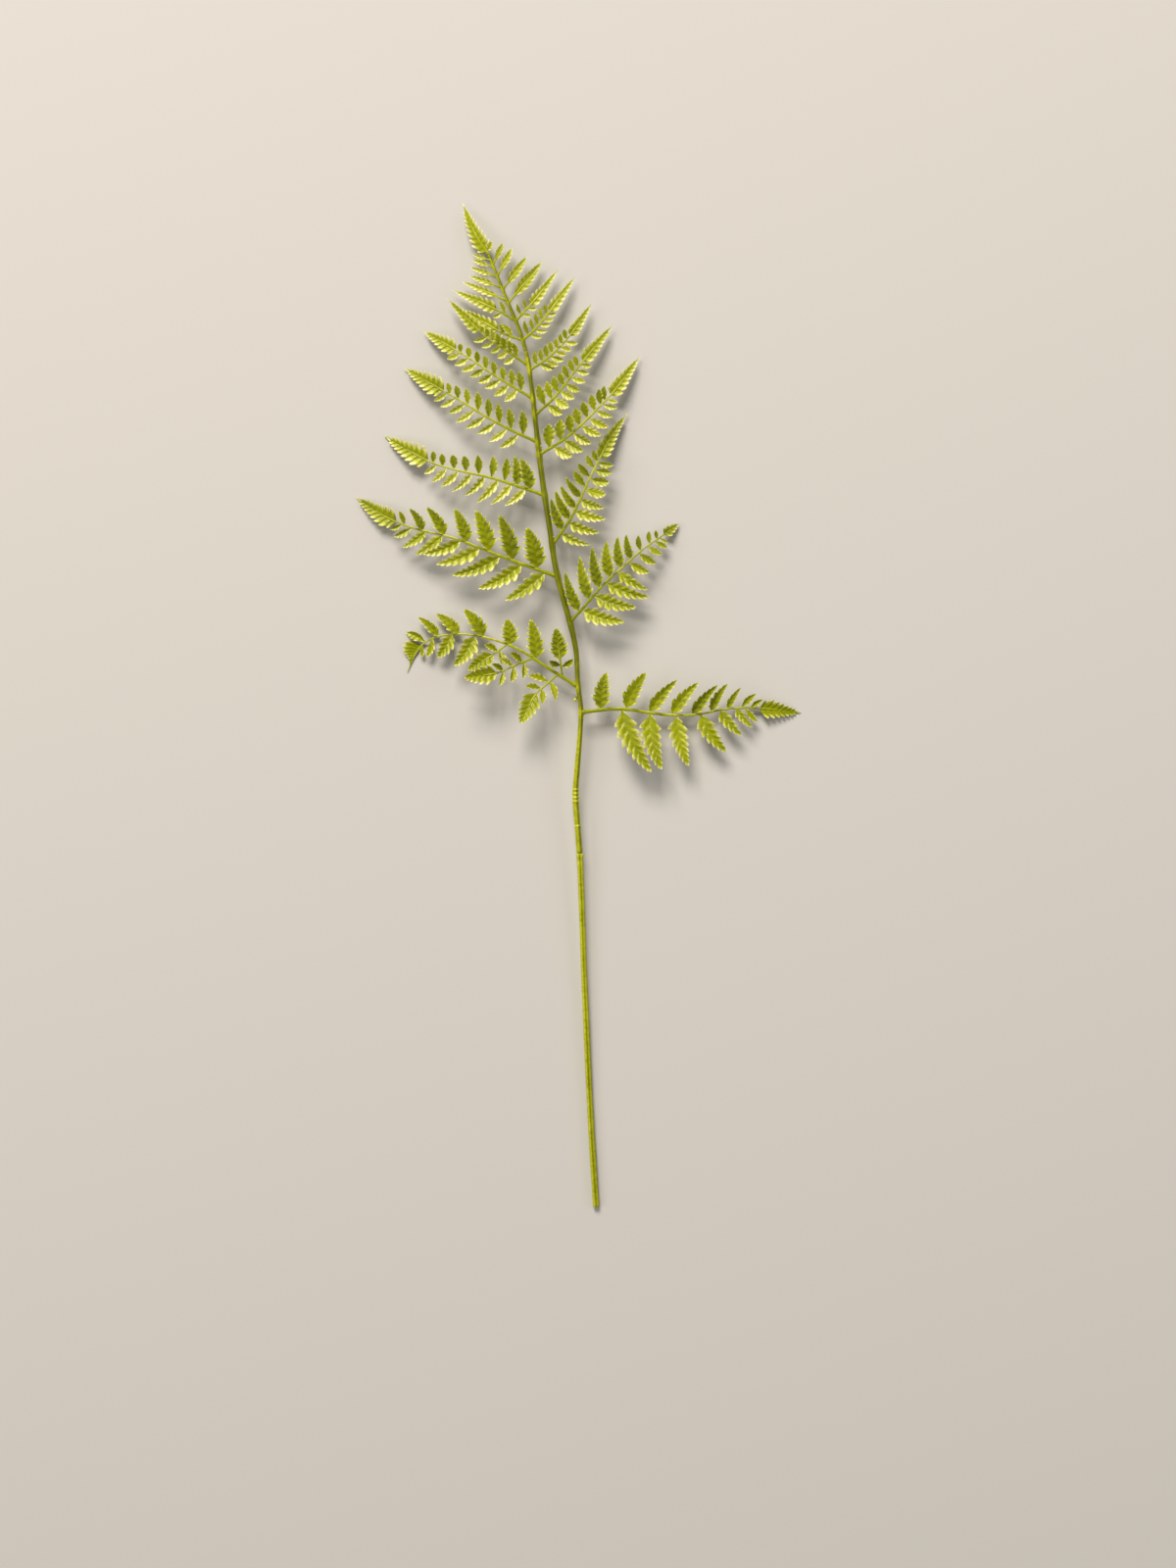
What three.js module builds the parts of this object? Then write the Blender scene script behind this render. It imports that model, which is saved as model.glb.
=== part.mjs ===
// A moulded fern frond lying on a flat surface: one long stalk, a jointed rachis and 26 leafy pieces.
// Millimetres. +X is to the frond's right, +Y runs from the cut end of the stalk to the tip of the
// frond, +Z is up, and Z = 0 is the surface that the frond lies on.
import * as THREE from 'three';

// ---- Driving dimensions ----

// Stations along the frond, measured in Y from the cut end of the stalk
const STALK_END = 269;
const JOINT = 642;
const TIP_START = 713;
const FROND_LONG = 750;

// Centreline of stalk and rachis, seen from above: [station, sideways offset]
const CENTRELINE = [
  [0, 12], [65, 8], [140, 4.5], [175, 3], [235, 1], [270, -0.5], [290, -2], [315, -3.5],
  [336, -2], [362, 0], [378, 0.5], [394, -1.5], [424, -3.5], [438, -6.5], [458, -12], [477, -17],
  [515, -23], [548, -28], [577, -31.5], [617, -36], [635, -38.5], [655, -44], [677, -53],
  [698, -61.5], [713, -67.5], [FROND_LONG, -85],
];
// Height of the centreline over the surface: [station, height]
const HEIGHT = [
  [0, 2.4], [120, 3.5], [260, 8], [380, 14], [520, 17], [620, 15], [680, 11], [FROND_LONG, 3],
];
// Half width of stalk and rachis: [station, radius]
const RADIUS = [
  [0, 2.3], [240, 2.15], [STALK_END, 2.25], [310, 2.25], [350, 1.85], [370, 1.7], [400, 1.8], [440, 2],
  [480, 2.1], [560, 1.95], [600, 1.75], [JOINT, 1.45], [690, 1.05], [FROND_LONG, 0.6],
];

// Raised rings moulded round the rachis: [station, height over the skin]
const RINGS = [[290, 0.4], [308.5, 0.5], [311.5, 0.5], [314.5, 0.5], [317.5, 0.5]];
const RING_HALF = 0.9;
const COLLAR_LONG = 3;
const COLLAR_HIGH = 0.5;
const GROOVE_DEPTH = 0.3;
const GROOVE_HALF_ANGLE = 30;
const STEM_SIDES = 10;
const ROW_STEP = 14;

// Leaves
const GAP = 0.35;
const LEAF_HALF_THICK = 0.4;
const TIP_HALF_THICK = 0.3;
const FOLD = 20;
const CURL = 16;
const MOST_DROOP = 0.13;
const SMALL_LEAFLET = 16;
const BODY_OF_WIDTH = 0.92;
const RIB_HALF = 0.55;
const RIB_HALF_GROWTH = 0.0058;
const RIB_END_HALF = 0.4;
const ARCH = 12;
const SLIVER = 0.3;
const TIP_ROWS = 4;
const TOOTH_NOTCH = 0.62;

const PLASTIC_LEAF = { color: 0x9c9c2e, roughness: 0.4, metalness: 0 };
const PLASTIC_STEM = { color: 0xa4a41f, roughness: 0.35, metalness: 0 };

// ---- The pinnae ----
// at: station of the base on the rachis; long: length of the midrib; turn: headings of the midrib
// from base to tip, in degrees from +X; tip: where its lobes run together; tipWide: width there.
// upper and lower are the rows of leaflets on the side of the frond's tip and of its stalk: how many,
// the places of the first and last, how they crowd outward, and lengths, widths and leans along the
// row. sprays are lower leaflets that branch again, with pairs of leaflets below their own blade.
const PINNAE = [
  {
    name: 'pinna_right_1', side: 1, at: 375, long: 163,
    turn: [7, -11, -3, 13, -1, -8], tip: 132, tipWide: 9,
    upper: {
      count: 9, from: 13, to: 125, crowd: 1.35,
      long: [30, 33, 31, 19, 11], wide: [12, 10, 9, 5.5, 4], lean: [76, 60, 46, 52, 35],
    },
    lower: {
      count: 7, from: 28, to: 121, crowd: 1.45,
      long: [52, 42, 34, 22, 14], wide: [15, 14, 12, 7, 4.5], lean: [63, 77, 64, 57, 44],
    },
  },
  {
    name: 'pinna_left_1', side: -1, at: 394, long: 148,
    turn: [148, 146, 161, 173, 194, 248], tip: 129, tipWide: 11,
    upper: {
      count: 7, from: 10, to: 121, crowd: 1.3,
      long: [38, 32, 21, 27, 24, 21, 16], wide: [11, 11, 8, 5], lean: [48, 47, 60, 42, 40, 60, 64],
    },
    lower: {
      count: 4, from: 83, to: 125, crowd: 1.3,
      long: [28, 21, 15, 9], wide: [11, 9, 5, 3], lean: [64, 52, 54, 50],
    },
    sprays: [
      {
        at: 14, lean: 73, long: 48, turn: [0, 0, 22, 22], tip: 21, tipWide: 12,
        pairs: 2, pairLong: [17, 13],
      },
      {
        at: 36, lean: 55, long: 57, turn: [0, 4, -12, -14], tip: 30, tipWide: 11,
        pairs: 3, pairLong: [13, 12],
      },
      {
        at: 58, lean: 60, long: 37, turn: [0, -6, -8, -8], tip: 13, tipWide: 11,
        pairs: 1, pairLong: [12, 12],
      },
    ],
  },
  {
    name: 'pinna_right_2', side: 1, at: 442, long: 106,
    turn: [48, 50, 40, 43, 34, 36], tip: 92, tipWide: 5,
    upper: {
      count: 9, from: 7, to: 86, crowd: 1.2,
      long: [34, 31, 24, 13, 7], wide: [9, 9.5, 8, 4.5, 3], lean: [60, 53, 54, 62, 62],
    },
    lower: {
      count: 9, from: 9, to: 88, crowd: 1.45,
      long: [35, 34, 18, 13, 8], wide: [11.5, 9.5, 6.5, 4.4, 2.6], lean: [66, 66, 74, 68, 64],
    },
  },
  {
    name: 'pinna_left_2', side: -1, at: 476, long: 158,
    turn: [161, 159, 158, 169, 160, 145], tip: 123, tipWide: 9,
    upper: {
      count: 7, from: 12, to: 116, crowd: 1.1,
      long: [32, 36, 28, 24, 12], wide: [14, 13, 10.5, 9, 4], lean: [59, 50, 46, 45, 46],
    },
    lower: {
      count: 9, from: 6, to: 118, crowd: 1.3,
      long: [36, 40, 30, 21, 10], wide: [12, 11, 9, 7, 3.6], lean: [55, 45, 40, 50, 46],
    },
  },
  {
    name: 'pinna_right_3', side: 1, at: 499, long: 108,
    turn: [54, 64, 66, 63, 63, 53], tip: 69, tipWide: 8,
    upper: {
      count: 8, from: 9, to: 66, crowd: 1.2,
      long: [26, 23, 17, 14, 10], wide: [8, 7.2, 6, 5, 4.5], lean: [54, 58, 62, 66, 54],
    },
    lower: {
      count: 8, from: 6, to: 65, crowd: 1.2,
      long: [24, 26, 17, 15, 12], wide: [7, 8.5, 7.5, 6.6, 5], lean: [76, 78, 84, 72, 72],
    },
  },
  {
    name: 'pinna_left_3', side: -1, at: 536, long: 124,
    turn: [161, 163, 169, 165, 152, 149], tip: 87, tipWide: 9,
    upper: {
      count: 9, from: 8, to: 83, crowd: 1.1,
      long: [25, 18, 15, 11, 9], wide: [9.5, 6.5, 6, 5.6, 4.4], lean: [58, 80, 78, 69, 70],
    },
    lower: {
      count: 8, from: 12, to: 80, crowd: 1.1,
      long: [20, 24, 21, 18, 12], wide: [6.8, 6.6, 6, 5.2, 4.2], lean: [60, 62, 56, 53, 60],
    },
  },
  {
    name: 'pinna_right_4', side: 1, at: 566, long: 102,
    turn: [30, 40, 45, 45, 54, 54], tip: 66, tipWide: 8,
    upper: {
      count: 8, from: 6, to: 60, crowd: 1.3,
      long: [18, 15, 13, 13, 11], wide: [7.3, 6.4, 5.4, 5, 4.2], lean: [60, 54, 62, 56, 52],
    },
    lower: {
      count: 8, from: 9, to: 62, crowd: 1.2,
      long: [16, 17, 17, 14, 9], wide: [6.8, 6.2, 5.6, 4.4, 3], lean: [57, 74, 73, 63, 59],
    },
  },
  {
    name: 'pinna_left_4', side: -1, at: 575, long: 110,
    turn: [156, 152, 148, 149, 151, 149], tip: 76, tipWide: 8,
    upper: {
      count: 8, from: 9, to: 71, crowd: 1.1,
      long: [19, 16, 15, 13, 9], wide: [6.6, 5.8, 5.5, 4.8, 4.2], lean: [63, 56, 62, 48, 47],
    },
    lower: {
      count: 8, from: 12, to: 73, crowd: 1.1,
      long: [18, 16, 18, 14, 12], wide: [5.6, 5.4, 5.2, 4.8, 3.8], lean: [62, 60, 66, 62, 61],
    },
  },
  {
    name: 'pinna_right_5', side: 1, at: 595, long: 85,
    turn: [40, 51, 54, 50, 51, 51], tip: 50, tipWide: 7,
    upper: {
      count: 7, from: 7, to: 45, crowd: 1.1,
      long: [17, 14, 11, 11, 9], wide: [5, 4.4, 4, 3.6, 3.2], lean: [67, 58, 57, 57, 58],
    },
    lower: {
      count: 7, from: 9, to: 47, crowd: 1.1,
      long: [14, 13, 12, 11, 9], wide: [5.6, 5, 4.4, 3.8, 3], lean: [76, 78, 80, 72, 60],
    },
  },
  {
    name: 'pinna_left_5', side: -1, at: 607, long: 92,
    turn: [149, 149, 145, 148, 149, 150], tip: 64, tipWide: 7,
    upper: {
      count: 8, from: 7, to: 60, crowd: 1,
      long: [15, 11, 11, 10, 7], wide: [4.6, 4.4, 4.2, 4, 3.4], lean: [50, 52, 49, 51, 52],
    },
    lower: {
      count: 8, from: 10, to: 60, crowd: 1,
      long: [14, 14, 13, 13, 11], wide: [5.2, 4.6, 4.4, 4.2, 4], lean: [72, 62, 65, 64, 52],
    },
  },
  {
    name: 'pinna_right_6', side: 1, at: 628, long: 66,
    turn: [31, 43, 45, 53, 57, 57], tip: 37, tipWide: 6,
    upper: {
      count: 7, from: 4, to: 33, crowd: 1,
      long: [11, 10, 8, 8], wide: [3.2, 3.2, 3, 3], lean: [67, 60, 51, 54],
    },
    lower: {
      count: 6, from: 6, to: 31, crowd: 1,
      long: [12, 11, 9, 10], wide: [3.8, 3.6, 3.2, 3], lean: [45, 64, 62, 57],
    },
  },
  {
    name: 'pinna_left_6', side: -1, at: 631, long: 75,
    turn: [146, 147, 143, 137, 134, 134], tip: 41, tipWide: 6.5,
    droop: 0.07,
    upper: {
      count: 7, from: 7, to: 38, crowd: 1,
      long: [12, 10, 9, 6], wide: [4, 4, 3.6, 3], lean: [38, 42, 40, 35],
    },
    lower: {
      count: 5, from: 9, to: 34, crowd: 1,
      long: [10, 9, 9, 11], wide: [4.2, 3.6, 3.4, 3.4], lean: [66, 66, 58, 58],
    },
  },
  {
    name: 'pinna_right_7', side: 1, at: 650, long: 59,
    turn: [40, 51, 52, 54, 54, 54], tip: 27, tipWide: 6.5,
    upper: {
      count: 5, from: 3.5, to: 24, crowd: 1,
      long: [12, 9, 10, 8], wide: [3, 3, 3, 3], lean: [70, 54, 52, 54],
    },
    lower: {
      count: 5, from: 4.5, to: 24, crowd: 1,
      long: [10, 9.5, 8, 7], wide: [3.2, 3.2, 3, 3], lean: [54, 52, 52, 48],
    },
  },
  {
    name: 'pinna_left_7', side: -1, at: 650, long: 50,
    turn: [164, 153, 149, 149, 150, 150], tip: 17, tipWide: 9,
    droop: 0.21,
    upper: {
      count: 2, from: 5, to: 12, crowd: 1,
      long: [13, 8], wide: [3.6, 3], lean: [34, 40],
    },
    lower: {
      count: 2, from: 7, to: 13, crowd: 1,
      long: [8, 9], wide: [3.4, 3.2], lean: [70, 66],
    },
  },
  {
    name: 'pinna_right_8', side: 1, at: 664, long: 48,
    turn: [48, 47, 53, 53, 53], tip: 14, tipWide: 7.5,
    upper: {
      count: 2, from: 4, to: 10, crowd: 1,
      long: [9, 8], wide: [3, 3], lean: [66, 62],
    },
    lower: {
      count: 2, from: 5, to: 10.5, crowd: 1,
      long: [7, 8], wide: [3, 3], lean: [59, 48],
    },
  },
  {
    name: 'pinna_left_8', side: -1, at: 664, long: 49,
    turn: [149, 154, 156, 156, 156], tip: 13, tipWide: 8,
    upper: {
      count: 1, from: 5, to: 5, crowd: 1,
      long: [11, 11], wide: [3.2, 3.2], lean: [34, 34],
    },
    lower: {
      count: 1, from: 8, to: 8, crowd: 1,
      long: [8, 8], wide: [3.2, 3.2], lean: [58, 58],
    },
  },
];

// The simple toothed leaflets near the tip: [side, station, length, heading, width]
const SIMPLE = [
  [1, 677, 37, 51, 7], [-1, 679, 33, 157, 6], [1, 687, 28, 54, 6], [-1, 688.5, 23, 160, 5.5],
  [1, 697, 21, 62, 5], [-1, 696.5, 19, 161, 4.5], [1, 705, 15.5, 66, 4], [-1, 703.5, 14.5, 161, 4],
  [-1, 708.5, 12, 162, 3.5],
];
const FIRST_SIMPLE = 9;
const FROND_TIP = {
  name: 'frond_tip', side: 1, at: TIP_START, atEnd: true,
  long: 42, turn: [126, 118, 114, 109], tip: 4, tipWide: 13,
  lower: { count: 1, from: 2, to: 2, crowd: 1, long: [9, 9], wide: [4, 4], lean: [58, 58] },
};

// ---- Small helpers ----

const UP = new THREE.Vector3(0, 0, 1);
const radians = THREE.MathUtils.degToRad;

// Value at x on a list of [x, value] pairs, straight between them
function along(pairs, x) {
  const last = pairs.length - 1;
  if (x <= pairs[0][0]) return pairs[0][1];
  if (x >= pairs[last][0]) return pairs[last][1];
  const next = pairs.findIndex(([place]) => place > x);
  const [x0, v0] = pairs[next - 1];
  const [x1, v1] = pairs[next];
  return THREE.MathUtils.mapLinear(x, x0, x1, v0, v1);
}

// Value at a fraction of a row whose values are evenly spread from its start to its end
function spread(values, fraction) {
  const step = 1 / Math.max(values.length - 1, 1);
  return along(values.map((value, index) => [index * step, value]), fraction);
}

// Heading at a fraction of a midrib that is cut into equal lengths, one heading each
function headingAt(turn, fraction) {
  return along(turn.map((heading, index) => [(index + 0.5) / turn.length, heading]), fraction);
}

const centreCurve = new THREE.CatmullRomCurve3(
  CENTRELINE.map(([station, offset]) => new THREE.Vector3(offset, station, 0)), false, 'centripetal',
);

// Point of the centreline at a station, found by halving because the curve climbs steadily in Y
function centreAt(station) {
  let low = 0;
  let high = 1;
  for (let halving = 0; halving < 30; halving += 1) {
    const middle = (low + high) / 2;
    if (centreCurve.getPoint(middle).y < station) low = middle;
    else high = middle;
  }
  const point = centreCurve.getPoint((low + high) / 2);
  point.z = along(HEIGHT, station);
  return point;
}

// ---- Stalk and rachis ----

// Skin of the stem at a station: its radius with the rings and the collars
function stemRadius(station, collarAt) {
  const fromRing = RINGS.map(([ring, high]) => high * (1 - Math.abs(station - ring) / RING_HALF));
  const collar = Math.abs(station - collarAt) < COLLAR_LONG ? COLLAR_HIGH : 0;
  return along(RADIUS, station) + Math.max(0, collar, ...fromRing);
}

// Stations of the rows of a stem from start to end, close together at its rings and its collar
function stemStations(start, end, collarAt) {
  const count = Math.ceil((end - start) / ROW_STEP);
  const even = Array.from({ length: count + 1 }, (_, index) => start + ((end - start) * index) / count);
  const edges = RINGS.flatMap(([ring]) => [ring - RING_HALF, ring, ring + RING_HALF]);
  const steps = [collarAt - COLLAR_LONG - 0.5, collarAt - COLLAR_LONG + 0.1];
  const close = [...edges, ...steps].filter((station) => station > start && station < end);
  const clear = even.filter((station) => close.every((other) => Math.abs(station - other) > 1));
  const ends = [start, end];
  return [...new Set([...ends, ...clear, ...close])].sort((one, other) => one - other);
}

// A stem with a groove along its top, made by bending a cylinder along the centreline. Its collar ends
// at the station collarAt, which is 0 for a stem that has none.
function stemGeometry(start, end, collarAt) {
  const stations = stemStations(start, end, collarAt);
  const rows = stations.length - 1;
  const geometry = new THREE.CylinderGeometry(1, 1, 1, STEM_SIDES, rows);
  const place = geometry.getAttribute('position');
  for (let index = 0; index < place.count; index += 1) {
    const row = Math.round((place.getY(index) + 0.5) * rows);
    const station = stations[row];
    const centre = centreAt(station);
    const ahead = centreAt(station + 1).sub(centreAt(station - 1)).normalize();
    const right = new THREE.Vector3().crossVectors(ahead, UP).normalize();
    const top = new THREE.Vector3().crossVectors(right, ahead);
    const across = place.getX(index);
    const upward = place.getZ(index);
    const fromTop = THREE.MathUtils.radToDeg(Math.abs(Math.atan2(across, upward)));
    const groove = 1 - GROOVE_DEPTH * Math.max(0, 1 - fromTop / GROOVE_HALF_ANGLE);
    const radius = stemRadius(station, collarAt) * groove;
    centre.addScaledVector(right, across * radius).addScaledVector(top, upward * radius);
    place.setXYZ(index, centre.x, centre.y, centre.z);
  }
  return geometry;
}

// ---- Leaves ----

// A leaf's middle surface: points that carry an up direction and a half thickness, and triangles
class LeafSurface {
  constructor() {
    this.points = [];
    this.faces = [];
  }

  point(place, up, half) {
    this.points.push({ place: place.clone(), up: up.clone(), half });
    return this.points.length - 1;
  }

  // A pair of points either side of a rib
  pair({ place, ahead, up }, halfWide, halfThick) {
    const left = new THREE.Vector3().crossVectors(up, ahead);
    const leftPlace = place.clone().addScaledVector(left, halfWide);
    const rightPlace = place.clone().addScaledVector(left, -halfWide);
    return [this.point(leftPlace, up, halfThick), this.point(rightPlace, up, halfThick)];
  }

  join([left, right], [nextLeft, nextRight]) {
    this.faces.push([left, right, nextRight], [left, nextRight, nextLeft]);
  }

  // Joins the points of an edge, in order, to the first pair of what grows from it
  joinEdge(edge, [nextLeft, nextRight]) {
    for (let index = 1; index < edge.length; index += 1) {
      this.faces.push([nextLeft, edge[index - 1], edge[index]]);
    }
    this.faces.push([nextLeft, edge[edge.length - 1], nextRight]);
  }

  // The closed solid: the surface once above, once below, and a wall round its open edges
  solid() {
    const count = this.points.length;
    const places = [1, -1].flatMap((side) => this.points.flatMap(({ place, up, half }) => (
      place.clone().addScaledVector(up, side * half).toArray()
    )));
    const edges = new Set(this.faces.flatMap(([a, b, c]) => [`${a} ${b}`, `${b} ${c}`, `${c} ${a}`]));
    const pairs = [...edges].map((edge) => edge.split(' ').map(Number));
    const open = pairs.filter(([a, b]) => !edges.has(`${b} ${a}`));
    const above = this.faces.flat();
    const below = this.faces.flatMap(([a, b, c]) => [c + count, b + count, a + count]);
    const walls = open.flatMap(([a, b]) => [a + count, b + count, b, a + count, b, a]);
    const geometry = new THREE.BufferGeometry();
    geometry.setAttribute('position', new THREE.Float32BufferAttribute(places, 3));
    geometry.setIndex([...above, ...below, ...walls]);
    return geometry;
  }
}

// The frame a leaflet starts in: turned away from its rib by lean, and folded up by FOLD
function turned({ place, ahead, up }, lean, side) {
  const flat = ahead.clone().applyAxisAngle(up, radians(lean * side));
  const left = new THREE.Vector3().crossVectors(up, flat);
  const fold = radians(-FOLD);
  const raised = flat.applyAxisAngle(left, fold);
  return { place: place.clone(), ahead: raised, up: up.clone().applyAxisAngle(left, fold) };
}

// Moves a frame ahead by a distance while it bends sideways and curls down by some angles
function moved({ place, ahead, up }, distance, bend = 0, curl = 0) {
  const aside = ahead.clone().applyAxisAngle(up, radians(bend));
  const left = new THREE.Vector3().crossVectors(up, aside);
  const angle = radians(curl);
  const nextAhead = aside.applyAxisAngle(left, angle);
  const nextPlace = place.clone().addScaledVector(nextAhead, distance);
  return { place: nextPlace, ahead: nextAhead, up: up.clone().applyAxisAngle(left, angle) };
}

// A leaflet on an edge of its rib: a short stalk, a blade and a point, arched towards the rib's end
function addLeaflet(surface, edge, frame, { side, long, wide }) {
  const rows = long < SMALL_LEAFLET ? [[0.38, 1]] : [[0.1, 0.34], [0.32, 1], [0.66, 0.74]];
  let at = 0;
  let here = frame;
  let last = null;
  for (const [fraction, shape] of rows) {
    const share = fraction - at;
    here = moved(here, long * share, -2 * side * ARCH * share, CURL * share);
    const pair = surface.pair(here, (wide * BODY_OF_WIDTH * shape) / 2, LEAF_HALF_THICK);
    if (last) surface.join(last, pair);
    else surface.joinEdge(edge, pair);
    last = pair;
    at = fraction;
  }
  here = moved(here, long * (1 - at), -2 * side * ARCH * (1 - at), CURL * (1 - at));
  const point = surface.point(here.place, here.up, TIP_HALF_THICK);
  surface.faces.push([last[0], last[1], point]);
}

// The leaflets of one row, side +1 on the left of the midrib and -1 on its right
function rowOfLeaflets(row, side) {
  return Array.from({ length: row.count }, (_, index) => {
    const fraction = row.count > 1 ? index / (row.count - 1) : 0;
    const crowded = 1 - (1 - fraction) ** row.crowd;
    const wide = spread(row.wide, fraction);
    return {
      side,
      at: THREE.MathUtils.lerp(row.from, row.to, crowded),
      long: spread(row.long, fraction),
      wide,
      lean: spread(row.lean, fraction),
      baseHalf: Math.min(0.5 + 0.04 * wide, 1.1),
    };
  });
}

// Places along a rib where it needs a row of points: leaflet bases, then the teeth of its tip
function ribPlaces(branch, leaflets) {
  const step = (branch.long - branch.tip) / (TIP_ROWS + 1);
  const teeth = Array.from({ length: TIP_ROWS * 2 + 1 }, (_, index) => branch.tip + (step * index) / 2);
  const bases = leaflets.flatMap(({ at, baseHalf }) => [at - baseHalf, at + baseHalf]);
  const sorted = [0, ...bases, ...teeth].sort((one, other) => one - other);
  return sorted.filter((place, index) => index === 0 || place - sorted[index - 1] > SLIVER);
}

// Half width of a rib at its base: a longer rib is thicker
function ribBaseHalf(long) {
  return RIB_HALF + RIB_HALF_GROWTH * long;
}

// Half width of a rib, and of the toothed blade that its end widens into
function ribHalf(branch, at) {
  const rib = THREE.MathUtils.lerp(ribBaseHalf(branch.long), RIB_END_HALF, at / branch.long);
  if (at < branch.tip) return rib;
  const step = (branch.long - branch.tip) / (TIP_ROWS + 1);
  const half = Math.round((2 * (at - branch.tip)) / step);
  const left = 1 - (at - branch.tip) / (branch.long - branch.tip);
  const blade = (branch.tipWide / 2) * BODY_OF_WIDTH * left;
  return Math.max(rib, half % 2 ? blade : blade * TOOTH_NOTCH);
}

// The frame further along a midrib, whose heading changes all the way
function alongRib(frame, start, branch, from, to) {
  const steps = Math.max(1, Math.round(to - from));
  const place = frame.place.clone();
  let { ahead } = frame;
  for (let step = 0; step < steps; step += 1) {
    const middle = from + ((to - from) * (step + 0.5)) / steps;
    const heading = radians(headingAt(branch.turn, middle / branch.long));
    ahead = start.ahead.clone().applyAxisAngle(start.up, heading);
    place.addScaledVector(ahead, (to - from) / steps);
  }
  return { place, ahead, up: frame.up };
}

// A branch: a midrib with its rows of leaflets, sprays of the same kind, and a toothed tip
function addBranch(surface, edge, start, branch) {
  const { side } = branch;
  const rows = [[branch.upper, side], [branch.lower, -side]].filter(([row]) => row);
  const sprays = (branch.sprays ?? []).map((spray) => ({ ...spray, side: -side, baseHalf: 1 }));
  const leaflets = [...rows.flatMap(([row, rowSide]) => rowOfLeaflets(row, rowSide)), ...sprays];
  const places = ribPlaces(branch, leaflets);
  const frames = [];
  const pairs = [];
  let here = start;
  let at = 0;
  for (const place of places) {
    here = alongRib(here, start, branch, at, place);
    at = place;
    const half = ribHalf(branch, place);
    const thick = Math.max(LEAF_HALF_THICK, place < branch.tip ? half : LEAF_HALF_THICK);
    frames.push(here);
    if (place === 0 && edge) pairs.push(null);
    else pairs.push(surface.pair(here, half, thick));
  }
  for (let index = 1; index < pairs.length; index += 1) {
    if (pairs[index - 1]) surface.join(pairs[index - 1], pairs[index]);
    else surface.joinEdge(edge, pairs[index]);
  }
  const end = moved(here, branch.long - at);
  surface.faces.push([...pairs[pairs.length - 1], surface.point(end.place, end.up, TIP_HALF_THICK)]);
  for (const leaflet of leaflets) addGrowth(surface, { places, frames, pairs }, leaflet);
}

// Puts a leaflet or a spray on the stretch of a rib's edge that its base covers
function addGrowth(surface, { places, frames, pairs }, growth) {
  const nearest = (goal) => places.reduce((best, place, index) => (
    Math.abs(place - goal) < Math.abs(places[best] - goal) ? index : best
  ), 0);
  const first = nearest(growth.at - growth.baseHalf);
  const last = nearest(growth.at + growth.baseHalf);
  const column = growth.side > 0 ? 0 : 1;
  const edge = pairs.slice(first, last + 1).map((pair) => pair[column]);
  if (growth.side < 0) edge.reverse();
  const base = frames[first].place.clone().lerp(frames[last].place, 0.5);
  const frame = turned({ ...frames[last], place: base }, growth.lean, growth.side);
  if (growth.pairs) addSpray(surface, edge, frame, growth);
  else addLeaflet(surface, edge, moved(frame, 0, growth.side * ARCH), growth);
}

// A spray: a small branch with a few leaflets on either side and one large blade at its end
function addSpray(surface, edge, frame, spray) {
  const leaflets = {
    count: spray.pairs, from: 8, to: spray.tip - 4, crowd: 1,
    long: spray.pairLong, wide: [5, 4.5], lean: [60, 50],
  };
  const turn = spray.turn.map((heading) => heading * spray.side);
  const lower = { ...leaflets, from: 9.5, lean: [56, 45] };
  addBranch(surface, edge, frame, { ...spray, turn, upper: leaflets, lower });
}

// Lets a leaf down so that it just reaches the surface, or as far as it can droop
function settle(surface, base, { long, droop = MOST_DROOP }) {
  const share = ({ x, y }) => ((x - base.x) ** 2 + (y - base.y) ** 2) / long ** 2;
  const drops = surface.points.map(({ place, half }) => (place.z - half) / Math.max(share(place), 0.01));
  const drop = Math.min(...drops, droop * long);
  for (const { place } of surface.points) place.z -= drop * share(place);
}

// A pinna, leaflet or tip of the frond, from the skin of the rachis outward
function leafGeometry(leaf) {
  const surface = new LeafSurface();
  const centre = centreAt(leaf.at);
  const ahead = new THREE.Vector3(1, 0, 0);
  const heading = radians(leaf.turn[0]);
  const out = ahead.clone().applyAxisAngle(UP, heading);
  const rachis = centreAt(leaf.at + 1).sub(centre);
  const across = Math.abs(out.x * rachis.y - out.y * rachis.x) / Math.hypot(rachis.x, rachis.y);
  const ribReach = ribBaseHalf(leaf.long) * Math.sqrt(1 - across ** 2);
  const reach = leaf.atEnd ? GAP : (along(RADIUS, leaf.at) + GAP + ribReach) / across;
  const base = centre.clone().addScaledVector(out, reach);
  addBranch(surface, null, { place: base, ahead, up: UP }, leaf);
  settle(surface, base, leaf);
  return surface.solid();
}

// ---- The whole frond ----

function simpleLeaves() {
  const counts = { 1: FIRST_SIMPLE, '-1': FIRST_SIMPLE };
  return SIMPLE.map(([side, at, long, heading, wide]) => {
    const name = `pinna_${side > 0 ? 'right' : 'left'}_${counts[side]}`;
    counts[side] += 1;
    return { name, side, at, long, turn: [heading], tip: long * 0.12, tipWide: wide };
  });
}

function meshOf(name, geometry, look) {
  const mesh = new THREE.Mesh(geometry, new THREE.MeshStandardMaterial(look));
  mesh.name = name;
  return mesh;
}

const frond = new THREE.Group();
frond.add(meshOf('stalk', stemGeometry(0, STALK_END, STALK_END), PLASTIC_STEM));
frond.add(meshOf('rachis', stemGeometry(STALK_END + GAP, JOINT - GAP, 0), PLASTIC_STEM));
frond.add(meshOf('rachis_top', stemGeometry(JOINT, TIP_START, 0), PLASTIC_STEM));
for (const leaf of [...PINNAE, ...simpleLeaves(), FROND_TIP]) {
  frond.add(meshOf(leaf.name, leafGeometry(leaf), PLASTIC_LEAF));
}

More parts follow.
